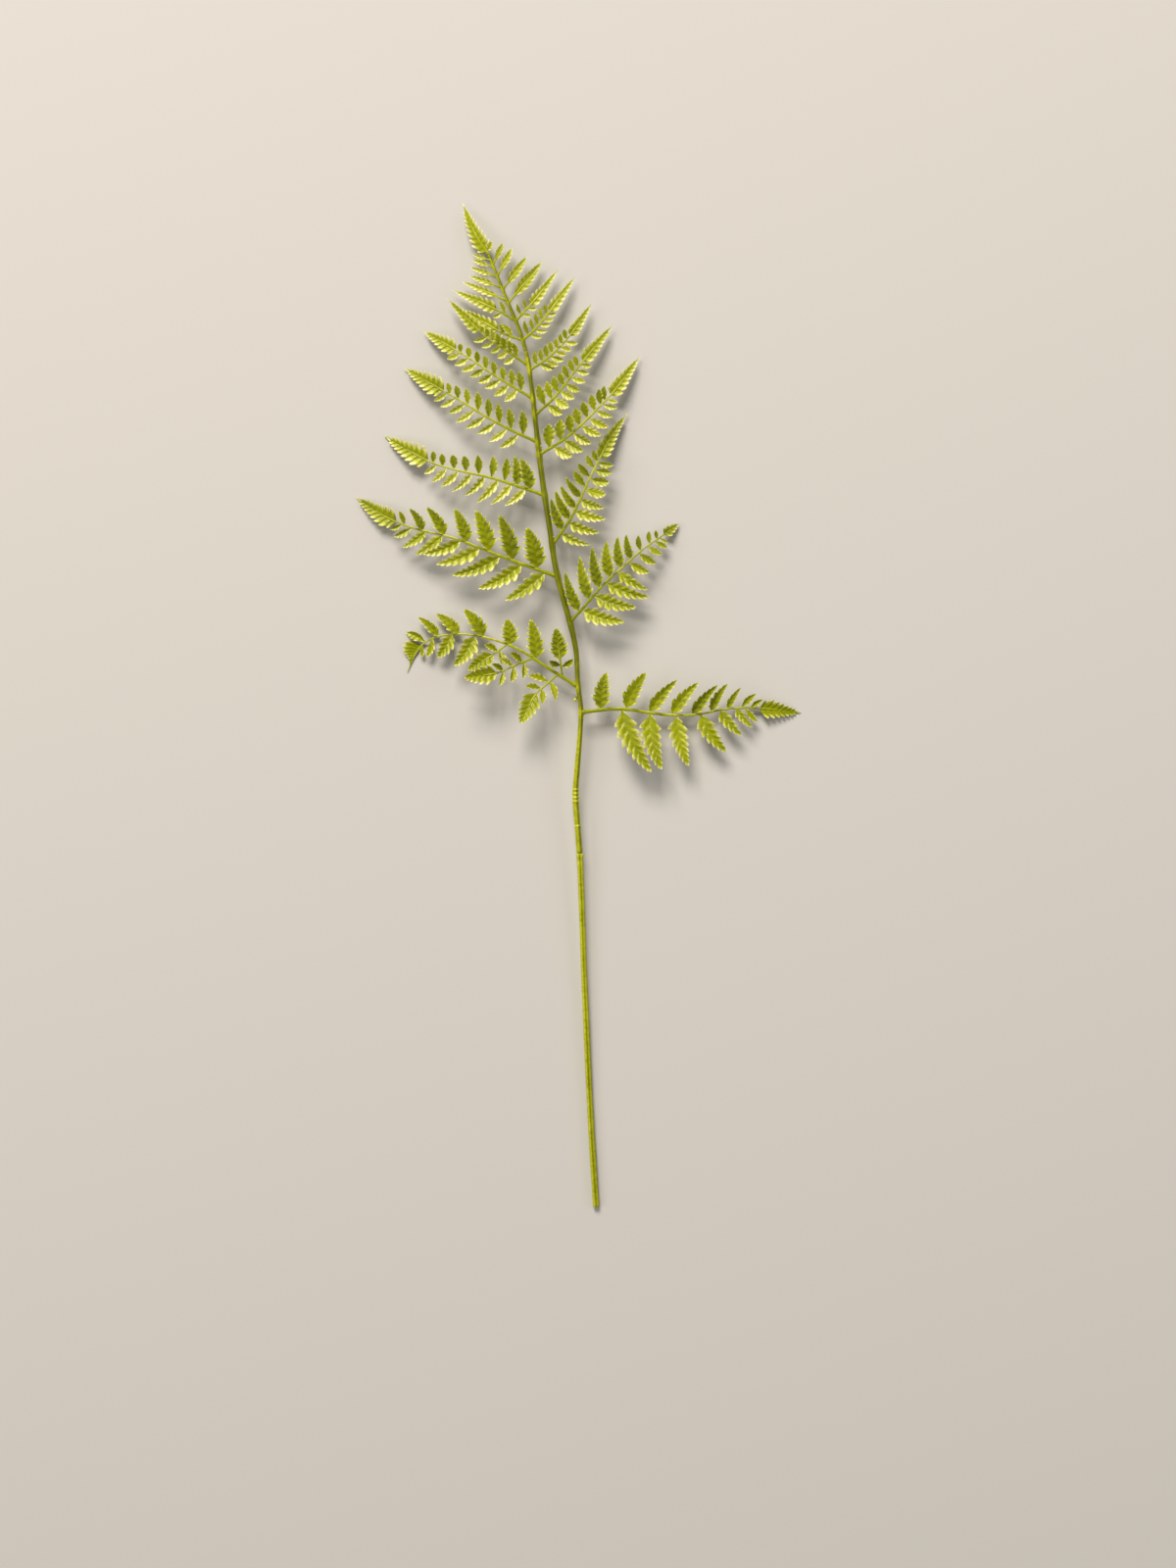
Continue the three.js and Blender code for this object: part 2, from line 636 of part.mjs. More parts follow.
// The origin is below the middle of the frond, on the surface
const box = new THREE.Box3().setFromObject(frond);
const middle = box.getCenter(new THREE.Vector3());
frond.position.set(-middle.x, -middle.y, -box.min.z);

const group = new THREE.Group();
group.add(frond);
export default group;
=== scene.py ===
"""A moulded fern frond lying on a pale surface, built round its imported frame.

The shape tables are in millimetres, laid out as the part's own source has them: X to the frond's right
and Y from the cut end of the stalk. MM turns them into metres when a mesh is made.
"""
import math

import bpy
import numpy as np
from mathutils import Matrix, Vector


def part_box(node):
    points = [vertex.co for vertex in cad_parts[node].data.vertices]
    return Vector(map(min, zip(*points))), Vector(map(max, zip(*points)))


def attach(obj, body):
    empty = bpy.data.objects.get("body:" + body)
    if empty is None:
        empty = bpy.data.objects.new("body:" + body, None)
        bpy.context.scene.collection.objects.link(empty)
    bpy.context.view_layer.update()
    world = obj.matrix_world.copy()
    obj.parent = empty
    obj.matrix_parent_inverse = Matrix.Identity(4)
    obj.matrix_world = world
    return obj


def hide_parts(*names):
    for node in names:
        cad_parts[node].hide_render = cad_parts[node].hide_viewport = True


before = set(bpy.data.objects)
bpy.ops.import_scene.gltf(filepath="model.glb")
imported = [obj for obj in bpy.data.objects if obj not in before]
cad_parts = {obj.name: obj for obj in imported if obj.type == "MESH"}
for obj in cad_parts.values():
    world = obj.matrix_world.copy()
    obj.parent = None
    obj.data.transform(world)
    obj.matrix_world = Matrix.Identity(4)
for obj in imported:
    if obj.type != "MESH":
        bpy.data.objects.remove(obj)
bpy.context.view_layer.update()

MM = 0.001
RANDOM = np.random.RandomState(7)

# ---- The stalk and the rachis: [station, value], a station is the way up from the cut end ----

STALK_END = 269
JOINT = 642
TIP_START = 713
FROND_LONG = 750
GAP = 0.35  # between pieces that meet

# How far to the frond's right the stem's centre is, its height over the surface and its radius
CENTRELINE = [
    [0, 12], [65, 8], [140, 4.5], [175, 3], [235, 1], [270, -0.5], [290, -2], [315, -3.5],
    [336, -2], [362, 0], [378, 0.5], [394, -1.5], [424, -3.5], [438, -6.5], [458, -12], [477, -17],
    [515, -23], [548, -28], [577, -31.5], [617, -36], [635, -38.5], [655, -44], [677, -53],
    [698, -61.5], [713, -67.5], [FROND_LONG, -85],
]
HEIGHT = [
    [0, 2.4], [120, 3.5], [260, 8], [380, 14], [520, 17], [620, 15], [680, 11], [FROND_LONG, 3],
]
RADIUS = [
    [0, 2.3], [240, 2.15], [STALK_END, 2.25], [310, 2.25], [350, 1.85], [370, 1.7], [400, 1.8], [440, 2],
    [480, 2.1], [560, 1.95], [600, 1.75], [JOINT, 1.45], [690, 1.05], [FROND_LONG, 0.6],
]

# How pale the stem is along its length: its own colour, with painted shade darkening the middle of the
# rachis; and where its raised rings are
STEM_PALE_AND_PAINTED_SHADE = [
    [0, 0.45], [350, 0.48], [400, 0.05], [450, -0.2], [540, -0.16], [600, 0.1], [FROND_LONG, 0.45],
]
RINGS = [290, 308.5, 311.5, 314.5, 317.5]
JOINT_RING = 636

# ---- The pinnae: as in the part's source, but some leaflets are a little wider ----

# How far leaflets are folded up, arch sideways and curl down, in degrees, and how far a pinna droops as a
# share of its length
FOLD = 20
ARCH = 12
CURL = 16
MOST_DROOP = 0.13

# Half widths of each kind of blade: [share of its length, share of its widest place]
LEAFLET_SHAPE = [
    [0, 0.11], [0.05, 0.12], [0.08, 0.5], [0.13, 0.88], [0.19, 1], [0.3, 0.97], [0.45, 0.84], [0.65, 0.6],
    [0.82, 0.38], [0.93, 0.2], [1, 0.02],
]
SMALL_SHAPE = [
    [0, 0.15], [0.08, 0.18], [0.18, 0.55], [0.3, 0.93], [0.4, 1], [0.56, 0.87], [0.74, 0.56], [0.9, 0.26],
    [1, 0.03],
]
SIMPLE_SHAPE = [
    [0, 0.16], [0.04, 0.2], [0.1, 0.55], [0.2, 0.9], [0.32, 1], [0.5, 0.86], [0.7, 0.6], [0.85, 0.34],
    [1, 0.03],
]
TIP_SHAPE = [
    [0, 0.8], [0.06, 0.96], [0.12, 1], [0.3, 0.82], [0.5, 0.6], [0.7, 0.4], [0.8, 0.28], [0.86, 0.1],
    [1, 0.03],
]
FOLDED_SHAPE = [[0, 0.8], [0.08, 1], [0.2, 0.86], [0.36, 0.52], [0.5, 0.24], [0.6, 0.06], [1, 0.03]]

# The outline of one tooth from notch to notch: where its points are, and how far out they stand
TOOTH_STEPS = np.array([0, 0.12, 0.32, 0.5, 0.65, 0.82])
TOOTH_PHASE = [0, 0.12, 0.32, 0.5, 0.65, 0.82, 1]
POINTED = [0, 0.36, 0.6, 0.82, 1, 0.66, 0]
ROUND = [0, 0.46, 0.76, 0.93, 1, 0.8, 0]

# How each kind of blade is cut: its shape and teeth, the stretch that has teeth, how deep they are cut, how
# high their veins stand, how far both halves fold up, how far the rim is raised, how much wider the blade
# is than its row says, and how far its teeth lean towards its tip at 0, 0.15, 0.5 and 1 of its length
LARGE = dict(
    shape=LEAFLET_SHAPE, teeth=POINTED, toothed=(0.06, 0.96), depth=0.5,
    relief=0.6, cup=0.34, rim=0.15, grown=1.2, sweep=[0.35, 0.5, 0.95, 1.1],
)
SMALL = dict(
    shape=SMALL_SHAPE, teeth=ROUND, toothed=(0.12, 0.92), depth=0.34,
    relief=0.2, cup=0.42, rim=0.6, grown=1.16, sweep=[0.35, 0.5, 0.95, 1.1],
)
SIMPLE_BLADE = dict(
    shape=SIMPLE_SHAPE, teeth=POINTED, toothed=(0.05, 0.92), depth=0.42,
    relief=0.34, cup=0.36, rim=0.4, grown=1.12, sweep=[0.5, 0.8, 1.1, 1.2],
)
TIP_BLADE = dict(
    shape=TIP_SHAPE, teeth=ROUND, toothed=(0.0, 0.86), depth=0.47,
    relief=0.5, cup=0.24, rim=0.1, grown=1.5, sweep=[0.5, 0.7, 1.0, 1.1],
)
FOLDED_TIP = dict(
    shape=FOLDED_SHAPE, teeth=ROUND, toothed=(0.0, 0.5), depth=0.22,
    relief=0.3, cup=0.3, rim=0.1, grown=1.9, sweep=[0.15, 0.3, 0.5, 0.6],
)

# Each pinna: where it leaves the stem, its length, the headings along its midrib in degrees, where the
# blade at its end starts and how wide that is, and its rows of leaflets. In a row, long, wide and lean are
# spread evenly from its start to its end, and crowd packs the leaflets towards the end.
PINNAE = [
    dict(
        name="pinna_right_1", side=1, at=375, long=163,
        turn=[7, -11, -3, 13, -1, -8], tip=132, tip_wide=10,
        upper=dict(count=9, start=13, end=125, crowd=1.35, long=[30, 33, 31, 19, 11],
                   wide=[12, 10, 9, 5.5, 4], lean=[76, 60, 46, 52, 35]),
        lower=dict(count=7, start=28, end=121, crowd=1.45, long=[52, 42, 34, 22, 14],
                   wide=[15, 14, 12, 7, 4.5], lean=[63, 77, 64, 57, 44]),
    ),
    dict(
        name="pinna_left_1", side=-1, at=394, long=148,
        turn=[148, 146, 161, 173, 194, 248], tip=126, tip_wide=12,
        tip_halves=(1.05, 0.08), tip_kind=FOLDED_TIP, first_branches=True,
        upper=dict(count=7, start=10, end=121, crowd=1.3, long=[38, 32, 21, 27, 24, 21, 16],
                   wide=[12.3, 12.3, 9, 5.6], lean=[48, 47, 60, 42, 40, 60, 64]),
        lower=dict(count=4, start=83, end=125, crowd=1.3, long=[28, 21, 15, 9],
                   wide=[12.3, 10.1, 5.6, 3.4], lean=[64, 52, 54, 50]),
        sprays=[
            dict(at=14, lean=73, long=48, turn=[0, 0, 22, 22],
                 tip=21, tip_wide=14, pairs=2, pair_long=[17, 13]),
            dict(at=36, lean=55, long=57, turn=[0, 4, -12, -14],
                 tip=30, tip_wide=13, pairs=3, pair_long=[13, 12]),
            dict(at=58, lean=60, long=37, turn=[0, -6, -8, -8],
                 tip=13, tip_wide=12, pairs=1, pair_long=[12, 12]),
        ],
    ),
    dict(
        name="pinna_right_2", side=1, at=442, long=106,
        turn=[48, 50, 40, 43, 34, 36], tip=92, tip_wide=6,
        upper=dict(count=9, start=7, end=86, crowd=1.2, long=[34, 31, 24, 13, 7],
                   wide=[9, 9.5, 8, 4.5, 3], lean=[60, 53, 54, 62, 62]),
        lower=dict(count=9, start=9, end=88, crowd=1.45, long=[35, 34, 18, 13, 8],
                   wide=[11.5, 9.5, 6.5, 4.4, 2.6], lean=[66, 66, 74, 68, 64]),
    ),
    dict(
        name="pinna_left_2", side=-1, at=476, long=158,
        turn=[161, 159, 158, 169, 160, 145], tip=123, tip_wide=11,
        upper=dict(count=7, start=12, end=116, crowd=1.1, long=[32, 36, 28, 24, 12],
                   wide=[14, 13, 10.5, 9, 4], lean=[59, 50, 46, 45, 46]),
        lower=dict(count=9, start=6, end=118, crowd=1.3, long=[36, 40, 30, 21, 10],
                   wide=[12, 11, 9, 7, 3.6], lean=[55, 45, 40, 50, 46]),
    ),
    dict(
        name="pinna_right_3", side=1, at=499, long=108,
        turn=[54, 64, 66, 63, 63, 53], tip=69, tip_wide=8.6,
        upper=dict(count=8, start=9, end=66, crowd=1.2, long=[26, 23, 17, 14, 10],
                   wide=[8, 7.2, 6, 5, 4.5], lean=[54, 58, 62, 66, 54]),
        lower=dict(count=8, start=6, end=65, crowd=1.2, long=[24, 26, 17, 15, 12],
                   wide=[7, 8.5, 7.5, 6.6, 5], lean=[76, 78, 84, 72, 72]),
    ),
    dict(
        name="pinna_left_3", side=-1, at=536, long=124,
        turn=[161, 163, 169, 165, 152, 149], tip=87, tip_wide=12,
        upper=dict(count=9, start=8, end=83, crowd=1.1, long=[25, 18, 15, 11, 9],
                   wide=[9.5, 6.5, 6, 5.6, 4.4], lean=[58, 80, 78, 69, 70]),
        lower=dict(count=8, start=12, end=80, crowd=1.1, long=[20, 24, 21, 18, 12],
                   wide=[6.8, 6.6, 6, 5.2, 4.2], lean=[60, 62, 56, 53, 60]),
    ),
    dict(
        name="pinna_right_4", side=1, at=566, long=102,
        turn=[30, 40, 45, 45, 54, 54], tip=66, tip_wide=8.6,
        upper=dict(count=8, start=6, end=60, crowd=1.3, long=[18, 15, 13, 13, 11],
                   wide=[8.2, 7.2, 6, 5.6, 4.7], lean=[60, 54, 62, 56, 52]),
        lower=dict(count=8, start=9, end=62, crowd=1.2, long=[16, 17, 17, 14, 9],
                   wide=[7.6, 6.9, 6.3, 4.9, 3.4], lean=[57, 74, 73, 63, 59]),
    ),
    dict(
        name="pinna_left_4", side=-1, at=575, long=110,
        turn=[156, 152, 148, 149, 151, 149], tip=76, tip_wide=11,
        upper=dict(count=8, start=9, end=71, crowd=1.1, long=[19, 16, 15, 13, 9],
                   wide=[6.6, 5.8, 5.5, 4.8, 4.2], lean=[63, 56, 62, 48, 47]),
        lower=dict(count=8, start=12, end=73, crowd=1.1, long=[18, 16, 18, 14, 12],
                   wide=[5.6, 5.4, 5.2, 4.8, 3.8], lean=[62, 60, 66, 62, 61]),
    ),
    dict(
        name="pinna_right_5", side=1, at=595, long=85,
        turn=[40, 51, 54, 50, 51, 51], tip=50, tip_wide=7.6,
        upper=dict(count=7, start=7, end=45, crowd=1.1, long=[17, 14, 11, 11, 9],
                   wide=[6.5, 5.7, 5.2, 4.7, 4.2], lean=[67, 58, 57, 57, 58]),
        lower=dict(count=7, start=9, end=47, crowd=1.1, long=[14, 13, 12, 11, 9],
                   wide=[7.3, 6.5, 5.7, 4.9, 3.9], lean=[76, 78, 80, 72, 60]),
    ),
    dict(
        name="pinna_left_5", side=-1, at=607, long=92,
        turn=[149, 149, 145, 148, 149, 150], tip=64, tip_wide=9,
        upper=dict(count=8, start=7, end=60, crowd=1, long=[15, 11, 11, 10, 7],
                   wide=[5.4, 5.2, 5, 4.7, 4], lean=[50, 52, 49, 51, 52]),
        lower=dict(count=8, start=10, end=60, crowd=1, long=[14, 14, 13, 13, 11],
                   wide=[6.1, 5.4, 5.2, 5, 4.7], lean=[72, 62, 65, 64, 52]),
    ),
    dict(
        name="pinna_right_6", side=1, at=628, long=66,
        turn=[31, 43, 45, 53, 57, 57], tip=37, tip_wide=6.4,
        upper=dict(count=7, start=4, end=33, crowd=1, long=[11, 10, 8, 8],
                   wide=[4, 4, 3.8, 3.8], lean=[67, 60, 51, 54]),
        lower=dict(count=6, start=6, end=31, crowd=1, long=[12, 11, 9, 10],
                   wide=[4.8, 4.5, 4, 3.8], lean=[45, 64, 62, 57]),
    ),
    dict(
        name="pinna_left_6", side=-1, at=631, long=75,
        turn=[146, 147, 143, 137, 134, 134], tip=41, tip_wide=7,
        droop=0.07,
        upper=dict(count=7, start=7, end=38, crowd=1, long=[12, 10, 9, 6],
                   wide=[4.6, 4.6, 4.1, 3.4], lean=[38, 42, 40, 35]),
        lower=dict(count=5, start=9, end=34, crowd=1, long=[10, 9, 9, 11],
                   wide=[4.8, 4.1, 3.9, 3.9], lean=[66, 66, 58, 58]),
    ),
    dict(
        name="pinna_right_7", side=1, at=650, long=59,
        turn=[40, 51, 52, 54, 54, 54], tip=27, tip_wide=6.2,
        upper=dict(count=5, start=3.5, end=24, crowd=1, long=[12, 9, 10, 8],
                   wide=[3.4, 3.4, 3.4, 3.4], lean=[70, 54, 52, 54]),
        lower=dict(count=5, start=4.5, end=24, crowd=1, long=[10, 9.5, 8, 7],
                   wide=[3.7, 3.7, 3.4, 3.4], lean=[54, 52, 52, 48]),
    ),
    dict(
        name="pinna_left_7", side=-1, at=650, long=50,
        turn=[164, 153, 149, 149, 150, 150], tip=17, tip_wide=7.6,
        droop=0.21,
        upper=dict(count=2, start=5, end=12, crowd=1, long=[13, 8], wide=[4, 3.3], lean=[34, 40]),
        lower=dict(count=2, start=7, end=13, crowd=1, long=[8, 9], wide=[3.7, 3.5], lean=[70, 66]),
    ),
    dict(
        name="pinna_right_8", side=1, at=664, long=48, turn=[48, 47, 53, 53, 53], tip=14, tip_wide=6,
        upper=dict(count=2, start=4, end=10, crowd=1, long=[9, 8], wide=[3, 3], lean=[66, 62]),
        lower=dict(count=2, start=5, end=10.5, crowd=1, long=[7, 8], wide=[3, 3], lean=[59, 48]),
    ),
    dict(
        name="pinna_left_8", side=-1, at=664, long=49,
        turn=[149, 154, 156, 156, 156], tip=13, tip_wide=6.8,
        upper=dict(count=1, start=5, end=5, crowd=1, long=[11, 11], wide=[3.2, 3.2], lean=[34, 34]),
        lower=dict(count=1, start=8, end=8, crowd=1, long=[8, 8], wide=[3.2, 3.2], lean=[58, 58]),
    ),
]

# The simple toothed leaflets near the tip: [side, station, length, heading, width]
SIMPLE = [
    [1, 677, 37, 51, 8.6], [-1, 679, 33, 157, 5.8], [1, 687, 28, 54, 7], [-1, 688.5, 23, 160, 5.4],
    [1, 697, 21, 62, 6], [-1, 696.5, 19, 161, 4.6], [1, 705, 15.5, 66, 5], [-1, 703.5, 14.5, 161, 4.2],
    [-1, 708.5, 12, 162, 3.8],
]
FIRST_SIMPLE = 9
FROND_TIP = dict(
    name="frond_tip", side=1, at=TIP_START, long=42, turn=[126, 118, 114, 109], tip=2, tip_wide=9.2,
    at_end=True, tip_depth=0.62,
    lower=dict(count=1, start=2, end=2, crowd=1, long=[9, 9], wide=[4.5, 4.5], lean=[58, 58]),
)

# How much painted highlight the lower leaflets get, and how light every leaf is, by station: [stations,
# values]
PAINTED_HIGHLIGHT_AT = [[375, 476, 536, 600, TIP_START], [0.4, 0.6, 1.6, 1.15, 0.85]]
TONE_AT = [[375, 394, 442, 500, 600, TIP_START], [0.4, 0.55, 0.15, 0.25, 0.4, 0.85]]

# Shares of the painted highlight, so that painted shade makes the leaflets above a midrib darker than those
# below it and the right side darker than the left; the blades at the ends and the simple leaflets on the
# left have shares of their own
UPPER_PAINTED_HIGHLIGHT = 0.1
RIGHT_PAINTED_HIGHLIGHT = 0.8
END_BLADE_PAINTED_HIGHLIGHT = 0.35
SIMPLE_LEFT_PAINTED_HIGHLIGHT = 0.7

# Columns across a blade, as shares of its half width, and its thickness at its midrib and its margin
COLUMNS = [-1, -0.9, -0.72, -0.48, -0.24, -0.08, 0, 0.08, 0.24, 0.48, 0.72, 0.9, 1]
MIDRIB_THICK = 0.8
MARGIN_THICK = 0.34
LARGE_FROM = 19  # a leaflet longer than this has the large, deeply toothed blade

# Half width of a rib at its base, what each millimetre of its length adds there, and at its end
RIB_HALF = 0.55
RIB_HALF_GROWTH = 0.0058
RIB_END_HALF = 0.4

RIB_STEP = 0.8
KNOT_HIGH = 0.16
KNOT_HALF = 1.3
MOST_REACH_BACK = 2.2  # how far a rib reaches back into the stem at most

# The crease along a blade's midrib
CREASE_DEEP = 0.3
CREASE_HALF = 0.13

# Headings are turned from RIGHT towards the frond's tip
UP = np.array([0.0, 0.0, 1.0])
RIGHT = np.array([1.0, 0.0, 0.0])

# Spacing of a stem's rings, how far the close ones reach, and how far its last ones are from its ends
RING_STEP = 1.6
CLOSE_STEP = 0.3
CLOSE_REACH = 4
END_INSET = 0.25

# A piece's shade: its lowest value, and how much its pale points, the mottle and its tone add to it
SHADE_LOWEST = -0.1
SHADE_OF_PALE = 0.84
SHADE_OF_MOTTLE = 0.34
SHADE_OF_TONE = 0.24


# ---- Camera, floor and light, in metres ----

CAMERA_AT = (0.0068, 0.163, 2.64)
CAMERA_TARGET = (0.0068, -0.054, 0.01)
LENS = 81.2
SENSOR_WIDE = 36
LIT_PLACE = (0, 0.12, 0)
WORLD_COLOUR = (1, 0.97, 0.93, 1)
WORLD_STRENGTH = 0.2
FLOOR_HALF = 14.0
FLOOR_COLOUR = (0.62, 0.59, 0.55, 1)
FLOOR_ROUGHNESS = 0.85

# Each soft light: its name, place, size, watts and colour
LIGHTS = [
    ("softbox_beyond_tip", (-1.0, 3.9, 3.5), (2.5, 1.9), 325, (1, 0.95, 0.87)),
    ("softbox_left", (-3.8, -0.2, 3.0), (2.0, 3.2), 52, (1, 0.98, 0.95)),
    ("softbox_right", (4.2, 0.4, 2.8), (2.0, 3.2), 34, (0.97, 0.98, 1)),
]


def look_at(thing, place, target):
    """Points a camera or a light at a target, with the top of its picture towards the frond's tip."""
    back = (Vector(place) - Vector(target)).normalized()
    right = Vector((0, 1, 0)).cross(back).normalized()
    turned = Matrix((right, back.cross(right), back)).transposed()
    thing.location = place
    thing.rotation_euler = turned.to_euler()


def make_camera():
    """The camera looks down on the frond from as far as a portrait lens would, from over its blade."""
    data = bpy.data.cameras.new("camera")
    data.lens = LENS
    data.sensor_width = SENSOR_WIDE
    camera = bpy.data.objects.new("camera", data)
    bpy.context.collection.objects.link(camera)
    look_at(camera, CAMERA_AT, CAMERA_TARGET)
    bpy.context.scene.camera = camera


def make_light(name, place, target, size, watts, colour):
    """A soft rectangular light that faces a target."""
    data = bpy.data.lights.new(name, "AREA")
    data.shape = "RECTANGLE"
    data.size, data.size_y = size
    data.energy = watts
    data.color = colour
    light = bpy.data.objects.new(name, data)
    bpy.context.collection.objects.link(light)
    look_at(light, place, target)


def make_lights():
    """The lights, from the table, and a dim warm world round them."""
    for name, place, size, watts, colour in LIGHTS:
        make_light(name, place, LIT_PLACE, size, watts, colour)
    world = bpy.data.worlds.new("studio")
    bpy.context.scene.world = world
    world.use_nodes = True
    background = world.node_tree.nodes["Background"]
    background.inputs["Color"].default_value = WORLD_COLOUR
    background.inputs["Strength"].default_value = WORLD_STRENGTH
    bpy.context.scene.view_settings.view_transform = "Standard"


def make_floor():
    """A plain pale floor, wide enough that a low view doesn't show its edge."""
    mesh = bpy.data.meshes.new("floor")
    corners = [(x * FLOOR_HALF, y * FLOOR_HALF, 0) for x, y in ((-1, -1), (1, -1), (1, 1), (-1, 1))]
    mesh.from_pydata(corners, [], [(0, 1, 2, 3)])
    floor = bpy.data.objects.new("floor", mesh)
    bpy.context.collection.objects.link(floor)
    material = bpy.data.materials.new("floor_paint")
    material.use_nodes = True
    shader = material.node_tree.nodes["Principled BSDF"]
    shader.inputs["Base Color"].default_value = FLOOR_COLOUR
    shader.inputs["Roughness"].default_value = FLOOR_ROUGHNESS
    mesh.materials.append(material)


# ---- Small helpers ----

def along(pairs, place):
    """Value on a list of [place, value] pairs, straight between them."""
    places, values = zip(*pairs)
    return np.interp(place, places, values)


def smooth_along(pairs, place):
    """Value on a list of [place, value] pairs, on one smooth curve through them."""
    places, values = (np.array(column, float) for column in zip(*pairs))
    slopes = np.gradient(values, places)
    place = np.clip(place, places[0], places[-1])
    index = np.clip(np.searchsorted(places, place) - 1, 0, len(places) - 2)
    span = places[index + 1] - places[index]
    t = (place - places[index]) / span
    rise = values[index] * (1 + 2 * t) * (1 - t) ** 2 + values[index + 1] * t * t * (3 - 2 * t)
    return rise + span * (slopes[index] * t * (1 - t) ** 2 - slopes[index + 1] * t * t * (1 - t))


def spread(values, share):
    """Value at a share of a row whose values are evenly spread from its start to its end."""
    return float(np.interp(share, np.linspace(0, 1, len(values)), values))


def unit(vectors):
    """Vectors scaled to a length of one."""
    return vectors / np.linalg.norm(vectors, axis=-1, keepdims=True)


def turn_about(vector, axis, degrees):
    """A vector turned about a unit axis, anticlockwise when the axis points at the viewer."""
    angle = math.radians(degrees)
    across = np.cross(axis, vector)
    kept = axis * np.dot(axis, vector) * (1 - math.cos(angle))
    return vector * math.cos(angle) + across * math.sin(angle) + kept


def centre_at(station):
    """Points of the stem's centreline at some stations."""
    station = np.asarray(station, float)
    return np.stack([smooth_along(CENTRELINE, station), station, smooth_along(HEIGHT, station)], axis=-1)


# ---- Skins: the closed shells that a piece is made of ----

class Skin:
    """Points, faces and two shades of one piece: pale is 1 on tips and rims and also carries painted
    highlight and painted shade, tone varies by leaflet.
    """

    def __init__(self):
        self.places, self.pales, self.tones, self.faces = [], [], [], []
        self.count = 0

    def add(self, places, faces, pale, tone):
        """One more shell, with its own tone."""
        self.places.append(places.reshape(-1, 3))
        self.pales.append(np.broadcast_to(pale, places.shape[:-1]).reshape(-1))
        self.tones.append(np.full(places.size // 3, tone))
        self.faces.extend([tuple(int(corner) + self.count for corner in face) for face in faces])
        self.count += places.size // 3

    def sheet(self, top, bottom, pale, tone):
        """A thin closed shell between two grids of points."""
        rows, columns = top.shape[:2]
        index = np.arange(rows * columns).reshape(rows, columns)
        below = index + rows * columns
        faces = quads(index) + [face[::-1] for face in quads(below)]
        edge = [*index[0, :], *index[1:, -1], *index[-1, -2::-1], *index[-2:0:-1, 0]]
        for here, following in zip(edge, edge[1:] + edge[:1]):
            faces.append((following, here, here + rows * columns, following + rows * columns))
        self.add(np.stack([top, bottom]), faces, np.stack([pale, pale * 0.6]), tone)

    def tube(self, rings, pale, tone):
        """A closed tube through rings of points, with a cap at each end."""
        rows, sides = rings.shape[:2]
        index = np.arange(rows * sides).reshape(rows, sides)
        wrapped = np.concatenate([index, index[:, :1]], axis=1)
        faces = [face[::-1] for face in quads(wrapped)] + [tuple(index[0]), tuple(index[-1][::-1])]
        self.add(rings, faces, pale, tone)

    def all_places(self):
        """Every point of the piece, as one array."""
        return np.concatenate(self.places)


def quads(index):
    """The four-sided faces of a grid of point numbers."""
    corners = [index[:-1, :-1], index[:-1, 1:], index[1:, 1:], index[1:, :-1]]
    return [tuple(face) for face in np.stack(corners, axis=-1).reshape(-1, 4)]


# ---- Leaves ----

class Rib:
    """A line that leaves grow from: frames along it, found at any distance from its base."""

    def __init__(self, places, aheads, ups, step):
        self.places, self.aheads, self.ups, self.step = places, aheads, ups, step

    def at(self, distance):
        """Point, direction, left and up at some distances along the rib."""
        share = np.clip(np.asarray(distance, float) / self.step, 0, len(self.places) - 1.001)
        index = share.astype(int)
        rest = (share - index)[..., None]
        place, ahead, up = (
            values[index] * (1 - rest) + values[index + 1] * rest
            for values in (self.places, self.aheads, self.ups)
        )
        ahead, up = unit(ahead), unit(up)
        return place, ahead, np.cross(up, ahead), up


def grown_rib(place, ahead, up, long, bend, curl, steps=40):
    """A rib that bends sideways and curls down evenly along its length."""
    places, aheads, ups = [place], [ahead], [up]
    for _ in range(steps):
        aside = turn_about(ahead, up, bend / steps)
        left = np.cross(up, aside)
        ahead = turn_about(aside, left, curl / steps)
        up = turn_about(up, left, curl / steps)
        place = place + ahead * long / steps
        places.append(place)
        aheads.append(ahead)
        ups.append(up)
    return Rib(np.array(places), np.array(aheads), np.array(ups), long / steps)


def turning_rib(place, ahead, up, long, turn):
    """A midrib in its own plane, which is cut into equal lengths with one heading each."""
    steps = max(20, int(long * 2))
    middles = (np.arange(steps) + 0.5) / steps
    headings = np.interp(middles, (np.arange(len(turn)) + 0.5) / len(turn), turn)
    aheads = np.array([turn_about(ahead, up, heading) for heading in headings])
    places = np.concatenate([[place], place + np.cumsum(aheads, axis=0) * long / steps])
    aheads = np.concatenate([aheads, aheads[-1:]])
    return Rib(places, aheads, np.tile(up, (steps + 1, 1)), long / steps)


